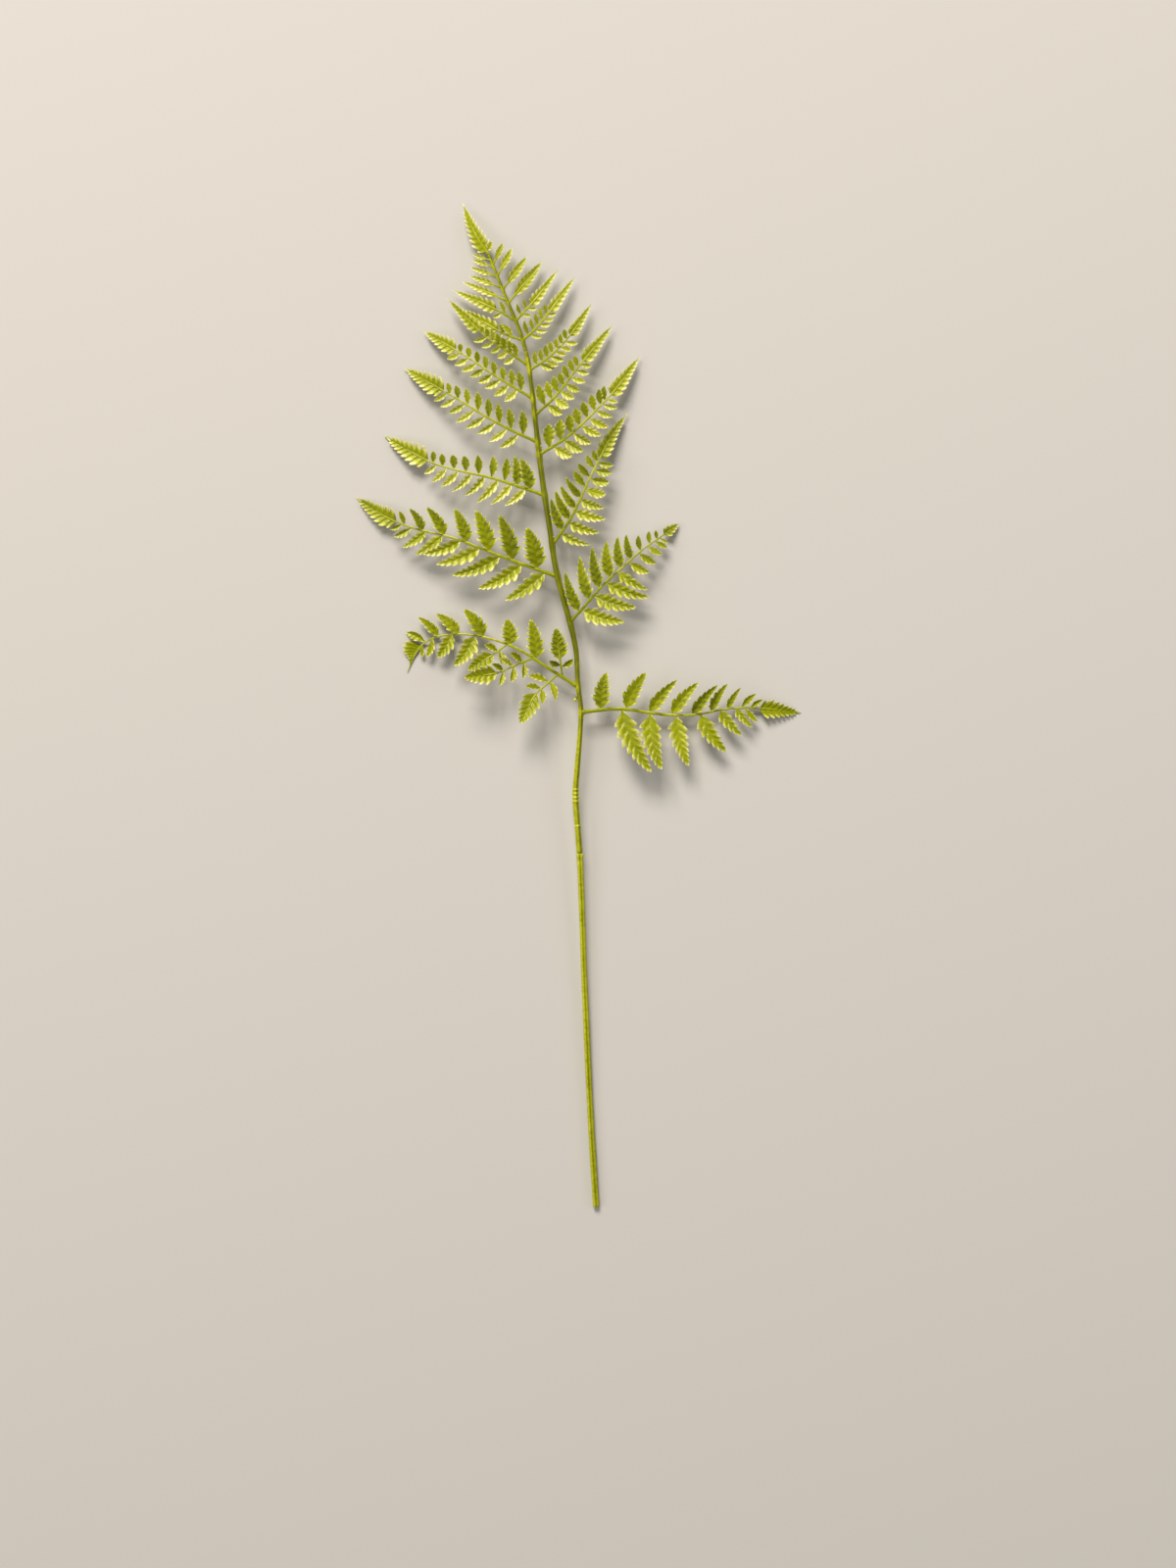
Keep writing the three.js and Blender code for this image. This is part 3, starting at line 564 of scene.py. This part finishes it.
def add_blade(skin, rib, start, end, wide, kind, teeth, tone, light, halves=(1, 1)):
    """A toothed blade along a stretch of a rib: swept lobes with a vein each, creased between them.

    halves says how wide its right and left halves are against an even blade, and light how much painted
    highlight it gets.
    """
    first, last = kind["toothed"]
    steps = (np.arange(teeth)[:, None] + TOOTH_STEPS).reshape(-1)
    steps = np.append(steps, teeth) / teeth
    inner = 1 - (1 - steps) ** 1.12
    share = np.concatenate([[0, first * 0.5], first + (last - first) * inner, [(last + 1) / 2, 1]])
    steps = np.concatenate([[0, 0], steps, [1, 1]])[1 if first == 0 else 0:, None]
    share = share[1 if first == 0 else 0:, None]
    t = np.array(COLUMNS)[None, :]
    side = np.abs(t)
    phase = (steps * teeth + np.where(t > 0, 0.5, 0)) % 1
    toothed = np.where((share >= first) & (share <= last), 1.0, 0.0)
    out = 1 - toothed * (1 - np.interp(phase, TOOTH_PHASE, kind["teeth"]))
    depth = kind["depth"]
    half = along(kind["shape"], share) * wide * kind["grown"] / 2 * np.where(t > 0, halves[1], halves[0])
    reach = half * side * (1 - depth * side ** min(2, 0.95 * (1 / depth - 1)) * (1 - out))
    sweep = reach * np.interp(share, [0, 0.15, 0.5, 1], kind["sweep"])
    distance = start + (end - start) * share + sweep
    distance = np.minimum(distance, end - (1 - share) * 0.4)
    place, _, left, up = rib.at(distance)
    crest = toothed * np.cos(2 * math.pi * (phase - 0.45))
    size = np.minimum(half, 5) / 5
    height = kind["cup"] * reach * side ** 0.6 + kind["relief"] * crest * np.sqrt(side) * size
    height = height + kind["rim"] * np.clip(side - 0.7, 0, 1) * half
    height = height - CREASE_DEEP * np.exp(-((side / CREASE_HALF) ** 2)) * size
    top = place + left * (np.sign(t) * reach)[..., None] + up * height[..., None]
    thick = MIDRIB_THICK + (MARGIN_THICK - MIDRIB_THICK) * np.sqrt(side)
    thick = thick * np.interp(share, [0, 0.8, 1], [1, 1, 0.7])
    bottom = top - up * thick[..., None]
    # Pale tooth tips and blade end: partly the plastic's own cream, partly painted highlight
    tooth_tip = np.clip(side * 2.8 - 1.5, 0, 1) * out
    far_tip = np.clip(share * 9 - 8, 0, 1)
    # Painted highlight on the crests of the lobes, added to the pale tips
    pale = 0.85 * np.maximum(tooth_tip, far_tip) + 0.22 * np.clip(crest, 0, 1) * side
    # Painted highlight over the outer parts of the blade, as strong as light says
    pale = pale + light * np.clip(side * 3 - 0.4, 0, 1) * (0.72 + 0.28 * crest)
    # Painted shade in the notches between the lobes
    pale = pale - 0.15 * np.clip(-crest, 0, 1)
    skin.sheet(top, bottom, np.clip(pale, 0, 1), tone)


def rib_half(long, at):
    """Half width of a rib of some length, at a distance from its base."""
    return (RIB_HALF + RIB_HALF_GROWTH * long) * (1 - at / long) + RIB_END_HALF * at / long


def add_rib(skin, rib, long, end, knots, back, tone):
    """The rib itself: a round tube with a groove on top, a flared base and a knot at each leaflet."""
    distances = np.arange(-back, end, RIB_STEP)
    sides = 12
    angle = np.linspace(0, 2 * math.pi, sides, endpoint=False)
    place, ahead, left, up = rib.at(np.maximum(distances, 0))
    place = place + ahead * np.minimum(distances, 0)[:, None]
    radius = rib_half(long, np.clip(distances, 0, long)) * 0.96
    radius = radius * (1 + 0.3 * np.exp(-np.maximum(distances, 0) / 1.5))
    for knot in knots:
        radius = radius + KNOT_HIGH * np.exp(-(((distances - knot) / KNOT_HALF) ** 2))
    radius = radius * np.interp(distances, [end - 8, end], [1, 0.35])
    section = 1 - 0.24 * np.exp(-((np.minimum(angle, 2 * math.pi - angle) / 0.5) ** 2))
    ring = radius[:, None] * section[None, :]
    rings = place[:, None] + left[:, None] * (ring * np.sin(angle))[..., None]
    rings = rings + up[:, None] * (ring * np.cos(angle) * 1.05)[..., None]
    # Painted highlight along the rib's upper flanks, strongest near the middle of its length
    painted_highlight_band = (np.abs(np.sin(angle)) > 0.4) * (np.cos(angle) > 0)
    pale = 0.1 + np.interp(distances / long, [0, 0.2, 0.5, 1], [0.12, 0.3, 0.6, 0.4])[:, None] * painted_highlight_band
    skin.tube(rings, pale, tone)


def leaflets_of(row, side, light):
    """The leaflets of one row, side +1 on the left of the midrib and -1 on its right."""
    leaflets = []
    for index in range(row["count"]):
        share = index / (row["count"] - 1) if row["count"] > 1 else 0
        crowded = 1 - (1 - share) ** row["crowd"]
        leaflets.append(dict(
            side=side,
            light=light,
            at=row["start"] + (row["end"] - row["start"]) * crowded,
            long=spread(row["long"], share) * RANDOM.uniform(0.96, 1.04),
            wide=spread(row["wide"], share) * RANDOM.uniform(0.95, 1.08),
            lean=spread(row["lean"], share) + RANDOM.uniform(-3, 3),
        ))
    return leaflets


def start_of(rib, growth):
    """Where a leaflet starts on its rib: turned away by its lean and folded up."""
    place, ahead, _, up = rib.at(growth["at"])
    flat = turn_about(ahead, up, growth["lean"] * growth["side"])
    left = np.cross(up, flat)
    fold = -(FOLD + RANDOM.uniform(-5, 5))
    ahead, up = turn_about(flat, left, fold), turn_about(up, left, fold)
    roll = RANDOM.uniform(-9, 9)
    return place, ahead, turn_about(up, ahead, roll)


def add_leaflet(skin, rib, leaflet):
    """A leaflet on a rib, arched sideways and curled down at its end."""
    place, ahead, up = start_of(rib, leaflet)
    ahead = turn_about(ahead, up, leaflet["side"] * ARCH)
    long, wide = leaflet["long"], leaflet["wide"]
    own = grown_rib(place, ahead, up, long, -2 * ARCH * leaflet["side"], CURL)
    kind = LARGE if long > LARGE_FROM else SMALL
    teeth = int(round(2.6 + long / 9.5)) if long > LARGE_FROM else 4
    # The leaflet's painted highlight, varied a little at random
    light = leaflet["light"] * RANDOM.uniform(0.6, 1.1)
    add_blade(skin, own, 0, long, wide, kind, teeth, leaflet["tone"], light)


def add_branch(skin, place, ahead, up, branch, back=0):
    """A midrib with its rows of leaflets, its sprays and the toothed blade at its end.

    back says how far its rib reaches back towards the stem.
    """
    side, long, tip = branch["side"], branch["long"], branch["tip"]
    rib = turning_rib(place, ahead, up, long, branch["turn"])
    # light is this branch's painted highlight: the lower row of leaflets and the sprays get all of it, the
    # upper row a small share
    light = branch["light"]
    leaflets = []
    for name, row_side, row_painted_highlight in (("upper", side, UPPER_PAINTED_HIGHLIGHT * light), ("lower", -side, light)):
        if name in branch:
            leaflets += leaflets_of(branch[name], row_side, row_painted_highlight)
    sprays = [dict(spray, side=-side, light=light) for spray in branch.get("sprays", [])]
    if branch.get("first_branches"):
        first = leaflets.pop(0)
        first = dict(first, turn=[0, 0], tip=13, tip_wide=first["wide"], pairs=1, pair_long=[11, 11])
        sprays.append(first)
    knots = [growth["at"] for growth in leaflets + sprays]
    tone = branch["tone"] + RANDOM.uniform(-0.15, 0.15)
    simple = not knots
    teeth = int(np.clip(round(1.6 + (long - tip) / 5.6), 4, 9))
    add_rib(skin, rib, long, tip + 0.55 * (long - tip), knots, back, tone)
    kind = SIMPLE_BLADE if simple else LARGE if "pairs" in branch else branch.get("tip_kind", TIP_BLADE)
    kind = dict(kind, depth=branch.get("tip_depth", kind["depth"]))
    # The blade at the end gets a share of the painted highlight
    blade_painted_highlight = light * (SIMPLE_LEFT_PAINTED_HIGHLIGHT if simple and side < 0 else END_BLADE_PAINTED_HIGHLIGHT)
    halves = branch.get("tip_halves", (1, 1))
    add_blade(skin, rib, tip, long, branch["tip_wide"], kind, teeth, tone, blade_painted_highlight, halves)
    for leaflet in leaflets:
        add_leaflet(skin, rib, dict(leaflet, tone=branch["tone"] + RANDOM.uniform(-0.35, 0.35)))
    for spray in sprays:
        add_spray(skin, rib, dict(spray, tone=branch["tone"]))


def add_spray(skin, rib, spray):
    """A lower leaflet that branches again: pairs of leaflets below its own blade."""
    place, ahead, up = start_of(rib, spray)
    pair = dict(count=spray["pairs"], start=8, end=spray["tip"] - 4, crowd=1,
                long=spray["pair_long"], wide=[5, 4.5], lean=[60, 50])
    turn = [heading * spray["side"] for heading in spray["turn"]]
    lower = dict(pair, start=9.5, lean=[56, 45])
    add_branch(skin, place, ahead, up, dict(spray, turn=turn, upper=pair, lower=lower))


def let_down(skin, base, leaf):
    """Lets a leaf down so that it just reaches the surface, or as far as it can droop."""
    def share(points):
        away = (points[:, 0] - base[0]) ** 2 + (points[:, 1] - base[1]) ** 2
        return away / leaf["long"] ** 2

    places = skin.all_places()
    drop = np.min(places[:, 2] / np.maximum(share(places), 0.01))
    drop = min(drop, leaf.get("droop", MOST_DROOP) * leaf["long"])
    for points in skin.places:
        points[:, 2] -= drop * share(points)


def leaf_base(leaf):
    """Where a leaf's midrib starts outside the stem, and how far that is from the stem's centre."""
    centre = centre_at(leaf["at"])
    heading = math.radians(leaf["turn"][0])
    out = np.array([math.cos(heading), math.sin(heading), 0])
    rachis = unit(centre_at(leaf["at"] + 1) - centre)
    across = abs(out[0] * rachis[1] - out[1] * rachis[0]) / math.hypot(rachis[0], rachis[1])
    skin_reach = (float(along(RADIUS, leaf["at"])) + GAP) / across
    rib_reach = rib_half(leaf["long"], 0) * math.sqrt(1 - across ** 2) / across
    reach = GAP if leaf.get("at_end") else skin_reach + rib_reach
    return centre + out * reach, reach


def leaf_end(leaf):
    """The end point of a leaf's midrib, before it droops."""
    rib = turning_rib(leaf_base(leaf)[0], RIGHT, UP, leaf["long"], leaf["turn"])
    return rib.places[-1]


def leaf_skin(leaf):
    """The whole skin of a pinna or of the frond's tip, with its rib reaching back to the stem."""
    skin = Skin()
    base, reach = leaf_base(leaf)
    # light is the painted highlight this leaf's leaflets get, by station, and less on the right side
    light = float(np.interp(leaf["at"], *PAINTED_HIGHLIGHT_AT)) * (RIGHT_PAINTED_HIGHLIGHT if leaf["side"] > 0 else 1)
    tone = float(np.interp(leaf["at"], *TONE_AT))
    leaf = dict(leaf, light=light, tone=tone)
    add_branch(skin, base, RIGHT, UP, leaf, min(reach, MOST_REACH_BACK))
    let_down(skin, base, leaf)
    return skin


def all_leaves():
    """The pinnae, the simple leaflets near the tip under their own names, and the frond's tip."""
    counts = {1: FIRST_SIMPLE, -1: FIRST_SIMPLE}
    leaves = list(PINNAE)
    for side, at, long, heading, wide in SIMPLE:
        name = f"pinna_{'right' if side > 0 else 'left'}_{counts[side]}"
        counts[side] += 1
        leaf = dict(name=name, side=side, at=at, long=long, turn=[heading], tip=long * 0.1, tip_wide=wide)
        leaves.append(leaf)
    return leaves + [FROND_TIP]


# ---- Stalk and rachis ----

def bump(station, places, high, half):
    """Rounded ridges of some height round the stem at some places."""
    total = np.zeros_like(station)
    for place in places:
        total = np.maximum(total, high * np.exp(-(((station - place) / half) ** 2)))
    return total


def stem_skin(start, end, section, ridges, fine):
    """A stem from start to end: its section is a share of the radius at each angle from its top.

    fine lists the stations that need close rings. The stem is painted lighter on its left and darker on its
    right, with painted highlight on its ridges and painted shade in its grooves.
    """
    skin = Skin()
    coarse = np.arange(start, end, RING_STEP)
    near = [np.arange(place - CLOSE_REACH, place + CLOSE_REACH, CLOSE_STEP) for place in fine]
    station = np.unique(np.round(np.concatenate([coarse, *near, [end]]), 2))
    station = station[(station >= start) & (station <= end)]
    station = np.sort(np.concatenate([station, [start + END_INSET, end - END_INSET]]))
    sides = 28
    angle = np.linspace(-math.pi, math.pi, sides, endpoint=False)
    centre = centre_at(station)
    ahead = unit(centre_at(station + 1) - centre_at(station - 1))
    right = unit(np.cross(ahead, [0, 0, 1]))
    top = np.cross(right, ahead)
    radius = along(RADIUS, station) + ridges(station)
    wobble = 0.05 * np.sin(station / 17) + 0.03 * np.sin(station / 5.3 + 1)
    close = np.minimum(np.abs(station - start), np.abs(station - end))
    radius = (radius + wobble) * np.interp(close, [0, END_INSET, 0.8], [0.8, 0.94, 1])
    ring = radius[:, None] * section(angle, station)
    rings = centre[:, None] + right[:, None] * (ring * np.sin(angle))[..., None]
    rings = rings + top[:, None] * (ring * np.cos(angle))[..., None]
    # Painted light: shade on the right side and in the grooves, highlight on the left and on the raised
    # parts of the section
    pale = along(STEM_PALE_AND_PAINTED_SHADE, station)[:, None] - 0.15 * np.sin(angle) + 1.6 * (section(angle, station) - 1)
    # Painted highlight on the rings, collar and swellings
    pale = pale + ridges(station)[:, None]
    skin.tube(rings[:, ::-1], np.clip(pale, 0, 1)[:, ::-1], 0.5)
    return skin


def groove(angle, place, depth, half):
    """A soft groove along a stem, at an angle from its top. A negative depth makes a ridge."""
    return depth * np.exp(-(((angle - place) / half) ** 2))


def stalk_section(angle, station):
    """Two ridges on top with a groove between them, and a parting line along each side."""
    angle = np.broadcast_to(angle, (len(station), len(angle)))
    ridges = groove(angle, -0.6, -0.1, 0.35) + groove(angle, 0.6, -0.1, 0.35)
    seams = groove(np.abs(angle), math.pi / 2, -0.05, 0.08)
    return 1 - groove(angle, 0, 0.2, 0.26) - ridges - seams - groove(np.abs(angle), 2.3, 0.12, 0.3)


def rachis_section(angle, station):
    """A channel along the right of the top, and low ridges round the rest."""
    angle = np.broadcast_to(angle, (len(station), len(angle)))
    deep = np.interp(station, [STALK_END, 330, 420, JOINT, TIP_START], [0.12, 0.18, 0.42, 0.34, 0.15])
    seams = groove(np.abs(angle), math.pi / 2, -0.04, 0.08)
    return 1 - groove(angle, 0.7, deep[:, None], 0.3) + 0.05 * np.cos(5 * angle) - seams


def collar(station, from_station, to_station, high):
    """A band of even height round the stem, with short sloping edges."""
    inside = np.minimum(station - from_station, to_station - station)
    return high * np.clip(inside / 0.4 + 1, 0, 1)


def stalk_ridges(station):
    """The collar that ends the stalk, and the ring below it."""
    return collar(station, STALK_END - 2.6, STALK_END, 0.25) + bump(station, [STALK_END - 7], 0.15, 1.2)


def rachis_ridges(station):
    """Its raised rings, a swelling where each pinna leaves, and the ring below the joint."""
    rings = bump(station, RINGS, 0.5, 0.75)
    swellings = bump(station, [leaf["at"] for leaf in PINNAE], 0.35, 3.5)
    return rings + swellings + bump(station, [JOINT_RING], 0.3, 1.1)


def top_ridges(station):
    """A slight swelling where each leaf leaves the thin last stretch."""
    return bump(station, [leaf["at"] for leaf in all_leaves() if leaf["at"] > JOINT], 0.12, 1.6)


def add_bead(skin, place, radius, pale, tone=0.5):
    """A small round mould bead, or a dark one that stands for the painted shade of the pin hole in the
    joint.
    """
    rows = np.linspace(0.12, math.pi - 0.12, 9)
    angle = np.linspace(0, 2 * math.pi, 14, endpoint=False)
    x = np.sin(rows)[:, None] * np.cos(angle)
    y = np.sin(rows)[:, None] * np.sin(angle)
    z = np.broadcast_to(np.cos(rows)[:, None], x.shape)
    skin.tube(place + radius * np.stack([x, y, z], axis=-1)[:, ::-1], pale, tone)


def add_stub(skin, start, end, radius):
    """A short straight stub that a bead sits on."""
    long = float(np.linalg.norm(end - start))
    line = grown_rib(start, unit(end - start), UP, long, 0, 0, steps=4)
    place, _, left, up = line.at(np.linspace(0, 1, 4) * line.step * 4)
    angle = np.linspace(0, 2 * math.pi, 10, endpoint=False)[:, None]
    rings = place[:, None] + radius * (left[:, None] * np.sin(angle) + up[:, None] * np.cos(angle))
    skin.tube(rings, 0.2, 0.5)


def beside_stem(station, angle, out):
    """A point beside the stem, at an angle from its top and a distance from its skin."""
    centre = centre_at(station)
    ahead = unit(centre_at(station + 1) - centre_at(station - 1))
    right = unit(np.cross(ahead, [0, 0, 1]))
    top = np.cross(right, ahead)
    reach = float(along(RADIUS, station)) + out
    return centre + reach * (right * math.sin(angle) + top * math.cos(angle))


def make_stalk():
    """The stalk, with a mould bead at its collar."""
    skin = stem_skin(0, STALK_END, stalk_section, stalk_ridges, [STALK_END - 2])
    add_bead(skin, beside_stem(STALK_END - 1.5, 1.25, 0.35), 0.75, 0.5)
    return skin


def make_rachis():
    """The rachis, with its stub, its mould beads and a dark bead of painted shade for the pin hole in its
    joint.
    """
    fine = [*RINGS, JOINT_RING]
    skin = stem_skin(STALK_END + GAP, JOINT - GAP, rachis_section, rachis_ridges, fine)
    add_stub(skin, beside_stem(388, -1.3, -0.5), beside_stem(385, -1.4, 1.6), 0.7)
    add_bead(skin, beside_stem(385, -1.4, 1.9), 1.35, 0.9)
    for station, angle, radius in ((371, 1.4, 0.7), (572, 1.3, 0.75), (612, -1.2, 0.6), (505, 1.2, 0.6)):
        add_bead(skin, beside_stem(station, angle, 0.1), radius, 0.7)
    # A dark bead: painted shade where the joint has a pin hole
    add_bead(skin, beside_stem(JOINT_RING + 3, 0.2, -0.4), 0.62, 0, 0)
    return skin


def make_rachis_top():
    """The thin last stretch of the rachis, above the joint."""
    return stem_skin(JOINT, TIP_START, rachis_section, top_ridges, [])


# ---- Materials ----

def ramp_node(nodes, stops):
    """A colour ramp with a stop at each place."""
    ramp = nodes.new("ShaderNodeValToRGB")
    while len(ramp.color_ramp.elements) < len(stops):
        ramp.color_ramp.elements.new(0.5)
    for element, (place, colour) in zip(ramp.color_ramp.elements, stops):
        element.position = place
        element.color = (*colour, 1)
    return ramp


def noise_node(tree, scale, detail, stretch=(1, 1, 1)):
    """Noise that stays with the piece, closer together along an axis with a larger stretch."""
    coordinates = tree.nodes.new("ShaderNodeTexCoord")
    mapping = tree.nodes.new("ShaderNodeMapping")
    mapping.inputs["Scale"].default_value = stretch
    noise = tree.nodes.new("ShaderNodeTexNoise")
    noise.inputs["Scale"].default_value = scale
    noise.inputs["Detail"].default_value = detail
    tree.links.new(coordinates.outputs["Object"], mapping.inputs["Vector"])
    tree.links.new(mapping.outputs["Vector"], noise.inputs["Vector"])
    return noise


def attribute_node(tree, name):
    """One of the shades stored at the mesh's points."""
    node = tree.nodes.new("ShaderNodeAttribute")
    node.attribute_name = name
    return node.outputs["Fac"]


def math_node(tree, operation, first, second, third=None):
    """A sum on two or three numbers or sockets, kept between 0 and 1."""
    node = tree.nodes.new("ShaderNodeMath")
    node.operation = operation
    node.use_clamp = True
    for socket, value in zip(node.inputs, (first, second, third)):
        if value is None:
            continue
        if isinstance(value, (int, float)):
            socket.default_value = value
        else:
            tree.links.new(value, socket)
    return node.outputs["Value"]


def plastic(name, stops, tint, roughness, grain_stretch):
    """Moulded plastic: colour by pale and tone, a soft mottle, a fine grain and uneven gloss."""
    material = bpy.data.materials.new(name)
    material.use_nodes = True
    tree = material.node_tree
    shader = tree.nodes["Principled BSDF"]
    mottle = noise_node(tree, 90, 3)
    grain = noise_node(tree, 1500, 3, grain_stretch)
    pale = attribute_node(tree, "pale")
    tone = attribute_node(tree, "tone")
    streaks = noise_node(tree, 420, 3)
    # The pale attribute holds the plastic's own cream tips together with painted highlight and painted
    # shade; streaky noise breaks it up
    patchy = math_node(tree, "MULTIPLY_ADD", streaks.outputs["Fac"], 1.6, 0.1)
    pale_and_painted_light = math_node(tree, "MULTIPLY", pale, patchy)
    shade = math_node(tree, "MULTIPLY_ADD", pale_and_painted_light, SHADE_OF_PALE, SHADE_LOWEST)
    shade = math_node(tree, "MULTIPLY_ADD", mottle.outputs["Fac"], SHADE_OF_MOTTLE, shade)
    shade = math_node(tree, "MULTIPLY_ADD", tone, SHADE_OF_TONE, shade)
    colours = ramp_node(tree.nodes, stops)
    tree.links.new(shade, colours.inputs["Fac"])
    mix = tree.nodes.new("ShaderNodeMix")
    mix.data_type = "RGBA"
    mix.blend_type = "MULTIPLY"
    spots = noise_node(tree, 320, 2)
    stained = math_node(tree, "MULTIPLY_ADD", spots.outputs["Fac"], 0.9, -0.2)
    tree.links.new(stained, mix.inputs["Factor"])
    tree.links.new(colours.outputs["Color"], mix.inputs["A"])
    mix.inputs["B"].default_value = (*tint, 1)
    tree.links.new(mix.outputs["Result"], shader.inputs["Base Color"])
    gloss = tree.nodes.new("ShaderNodeMapRange")
    gloss.inputs["To Min"].default_value = roughness[0]
    gloss.inputs["To Max"].default_value = roughness[1]
    tree.links.new(mottle.outputs["Fac"], gloss.inputs["Value"])
    tree.links.new(gloss.outputs["Result"], shader.inputs["Roughness"])
    waves = tree.nodes.new("ShaderNodeBump")
    waves.inputs["Strength"].default_value = 0.35
    waves.inputs["Distance"].default_value = 0.0008
    tree.links.new(spots.outputs["Fac"], waves.inputs["Height"])
    rough = tree.nodes.new("ShaderNodeBump")
    rough.inputs["Strength"].default_value = 0.25
    rough.inputs["Distance"].default_value = 0.0004
    tree.links.new(grain.outputs["Fac"], rough.inputs["Height"])
    tree.links.new(waves.outputs["Normal"], rough.inputs["Normal"])
    tree.links.new(rough.outputs["Normal"], shader.inputs["Normal"])
    shader.inputs["IOR"].default_value = 1.46
    shader.inputs["Specular Tint"].default_value = (1, 0.95, 0.5, 1)
    return material


def leaf_plastic():
    """The leaves' plastic, from dark green to pale cream."""
    stops = [
        (0.0, (0.1, 0.112, 0.0001)), (0.25, (0.24, 0.262, 0.0002)), (0.5, (0.41, 0.43, 0.0006)),
        (0.75, (0.66, 0.61, 0.14)), (1.0, (0.88, 0.81, 0.46)),
    ]
    return plastic("leaf_plastic", stops, (0.8, 0.9, 0.6), (0.22, 0.4), (1, 1, 1))


def stem_plastic():
    """The stem's plastic, with its grain drawn out along the stem."""
    stops = [
        (0.0, (0.03, 0.034, 0.0002)), (0.3, (0.17, 0.18, 0.0004)), (0.62, (0.46, 0.46, 0.002)),
        (1.0, (0.74, 0.7, 0.12)),
    ]
    return plastic("stem_plastic", stops, (0.85, 0.92, 0.75), (0.28, 0.42), (1, 0.12, 1))


# ---- Pieces ----

def mesh_piece(name, skin, shift, material):
    """One mesh of a skin, moved into the frame and turned into metres."""
    mesh = bpy.data.meshes.new(name)
    places = (skin.all_places() + shift) * MM
    mesh.from_pydata(places.tolist(), [], skin.faces)
    for label, values in (("pale", skin.pales), ("tone", skin.tones)):
        shade = mesh.attributes.new(label, "FLOAT", "POINT")
        shade.data.foreach_set("value", np.concatenate(values).astype(np.float32))
    mesh.shade_smooth()
    mesh.materials.append(material)
    piece = bpy.data.objects.new(name, mesh)
    bpy.context.collection.objects.link(piece)
    return piece


def frame_shift():
    """How far the frame's origin is from the cut end of the stalk's centreline, in millimetres."""
    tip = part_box("frond_tip")[1]
    end = leaf_end(FROND_TIP)
    left_2 = next(leaf for leaf in PINNAE if leaf["name"] == "pinna_left_2")
    far_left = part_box("pinna_left_2")[0]
    return np.array([far_left.x / MM - leaf_end(left_2)[0], tip.y / MM - end[1], 0])


def make_frond():
    """Every piece, in the place of its own CAD node."""
    shift = frame_shift()
    leaf_look, stem_look = leaf_plastic(), stem_plastic()
    pieces = [
        ("stalk", make_stalk(), stem_look, "stem"),
        ("rachis", make_rachis(), stem_look, "stem"),
        ("rachis_top", make_rachis_top(), stem_look, "stem"),
    ]
    pieces += [(leaf["name"], leaf_skin(leaf), leaf_look, "leaf") for leaf in all_leaves()]
    for node, skin, look, slot in pieces:
        piece = mesh_piece(f"{node}_shape", skin, shift, look)
        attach(piece, "root")
        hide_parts(node)


make_camera()
make_lights()
make_floor()
make_frond()
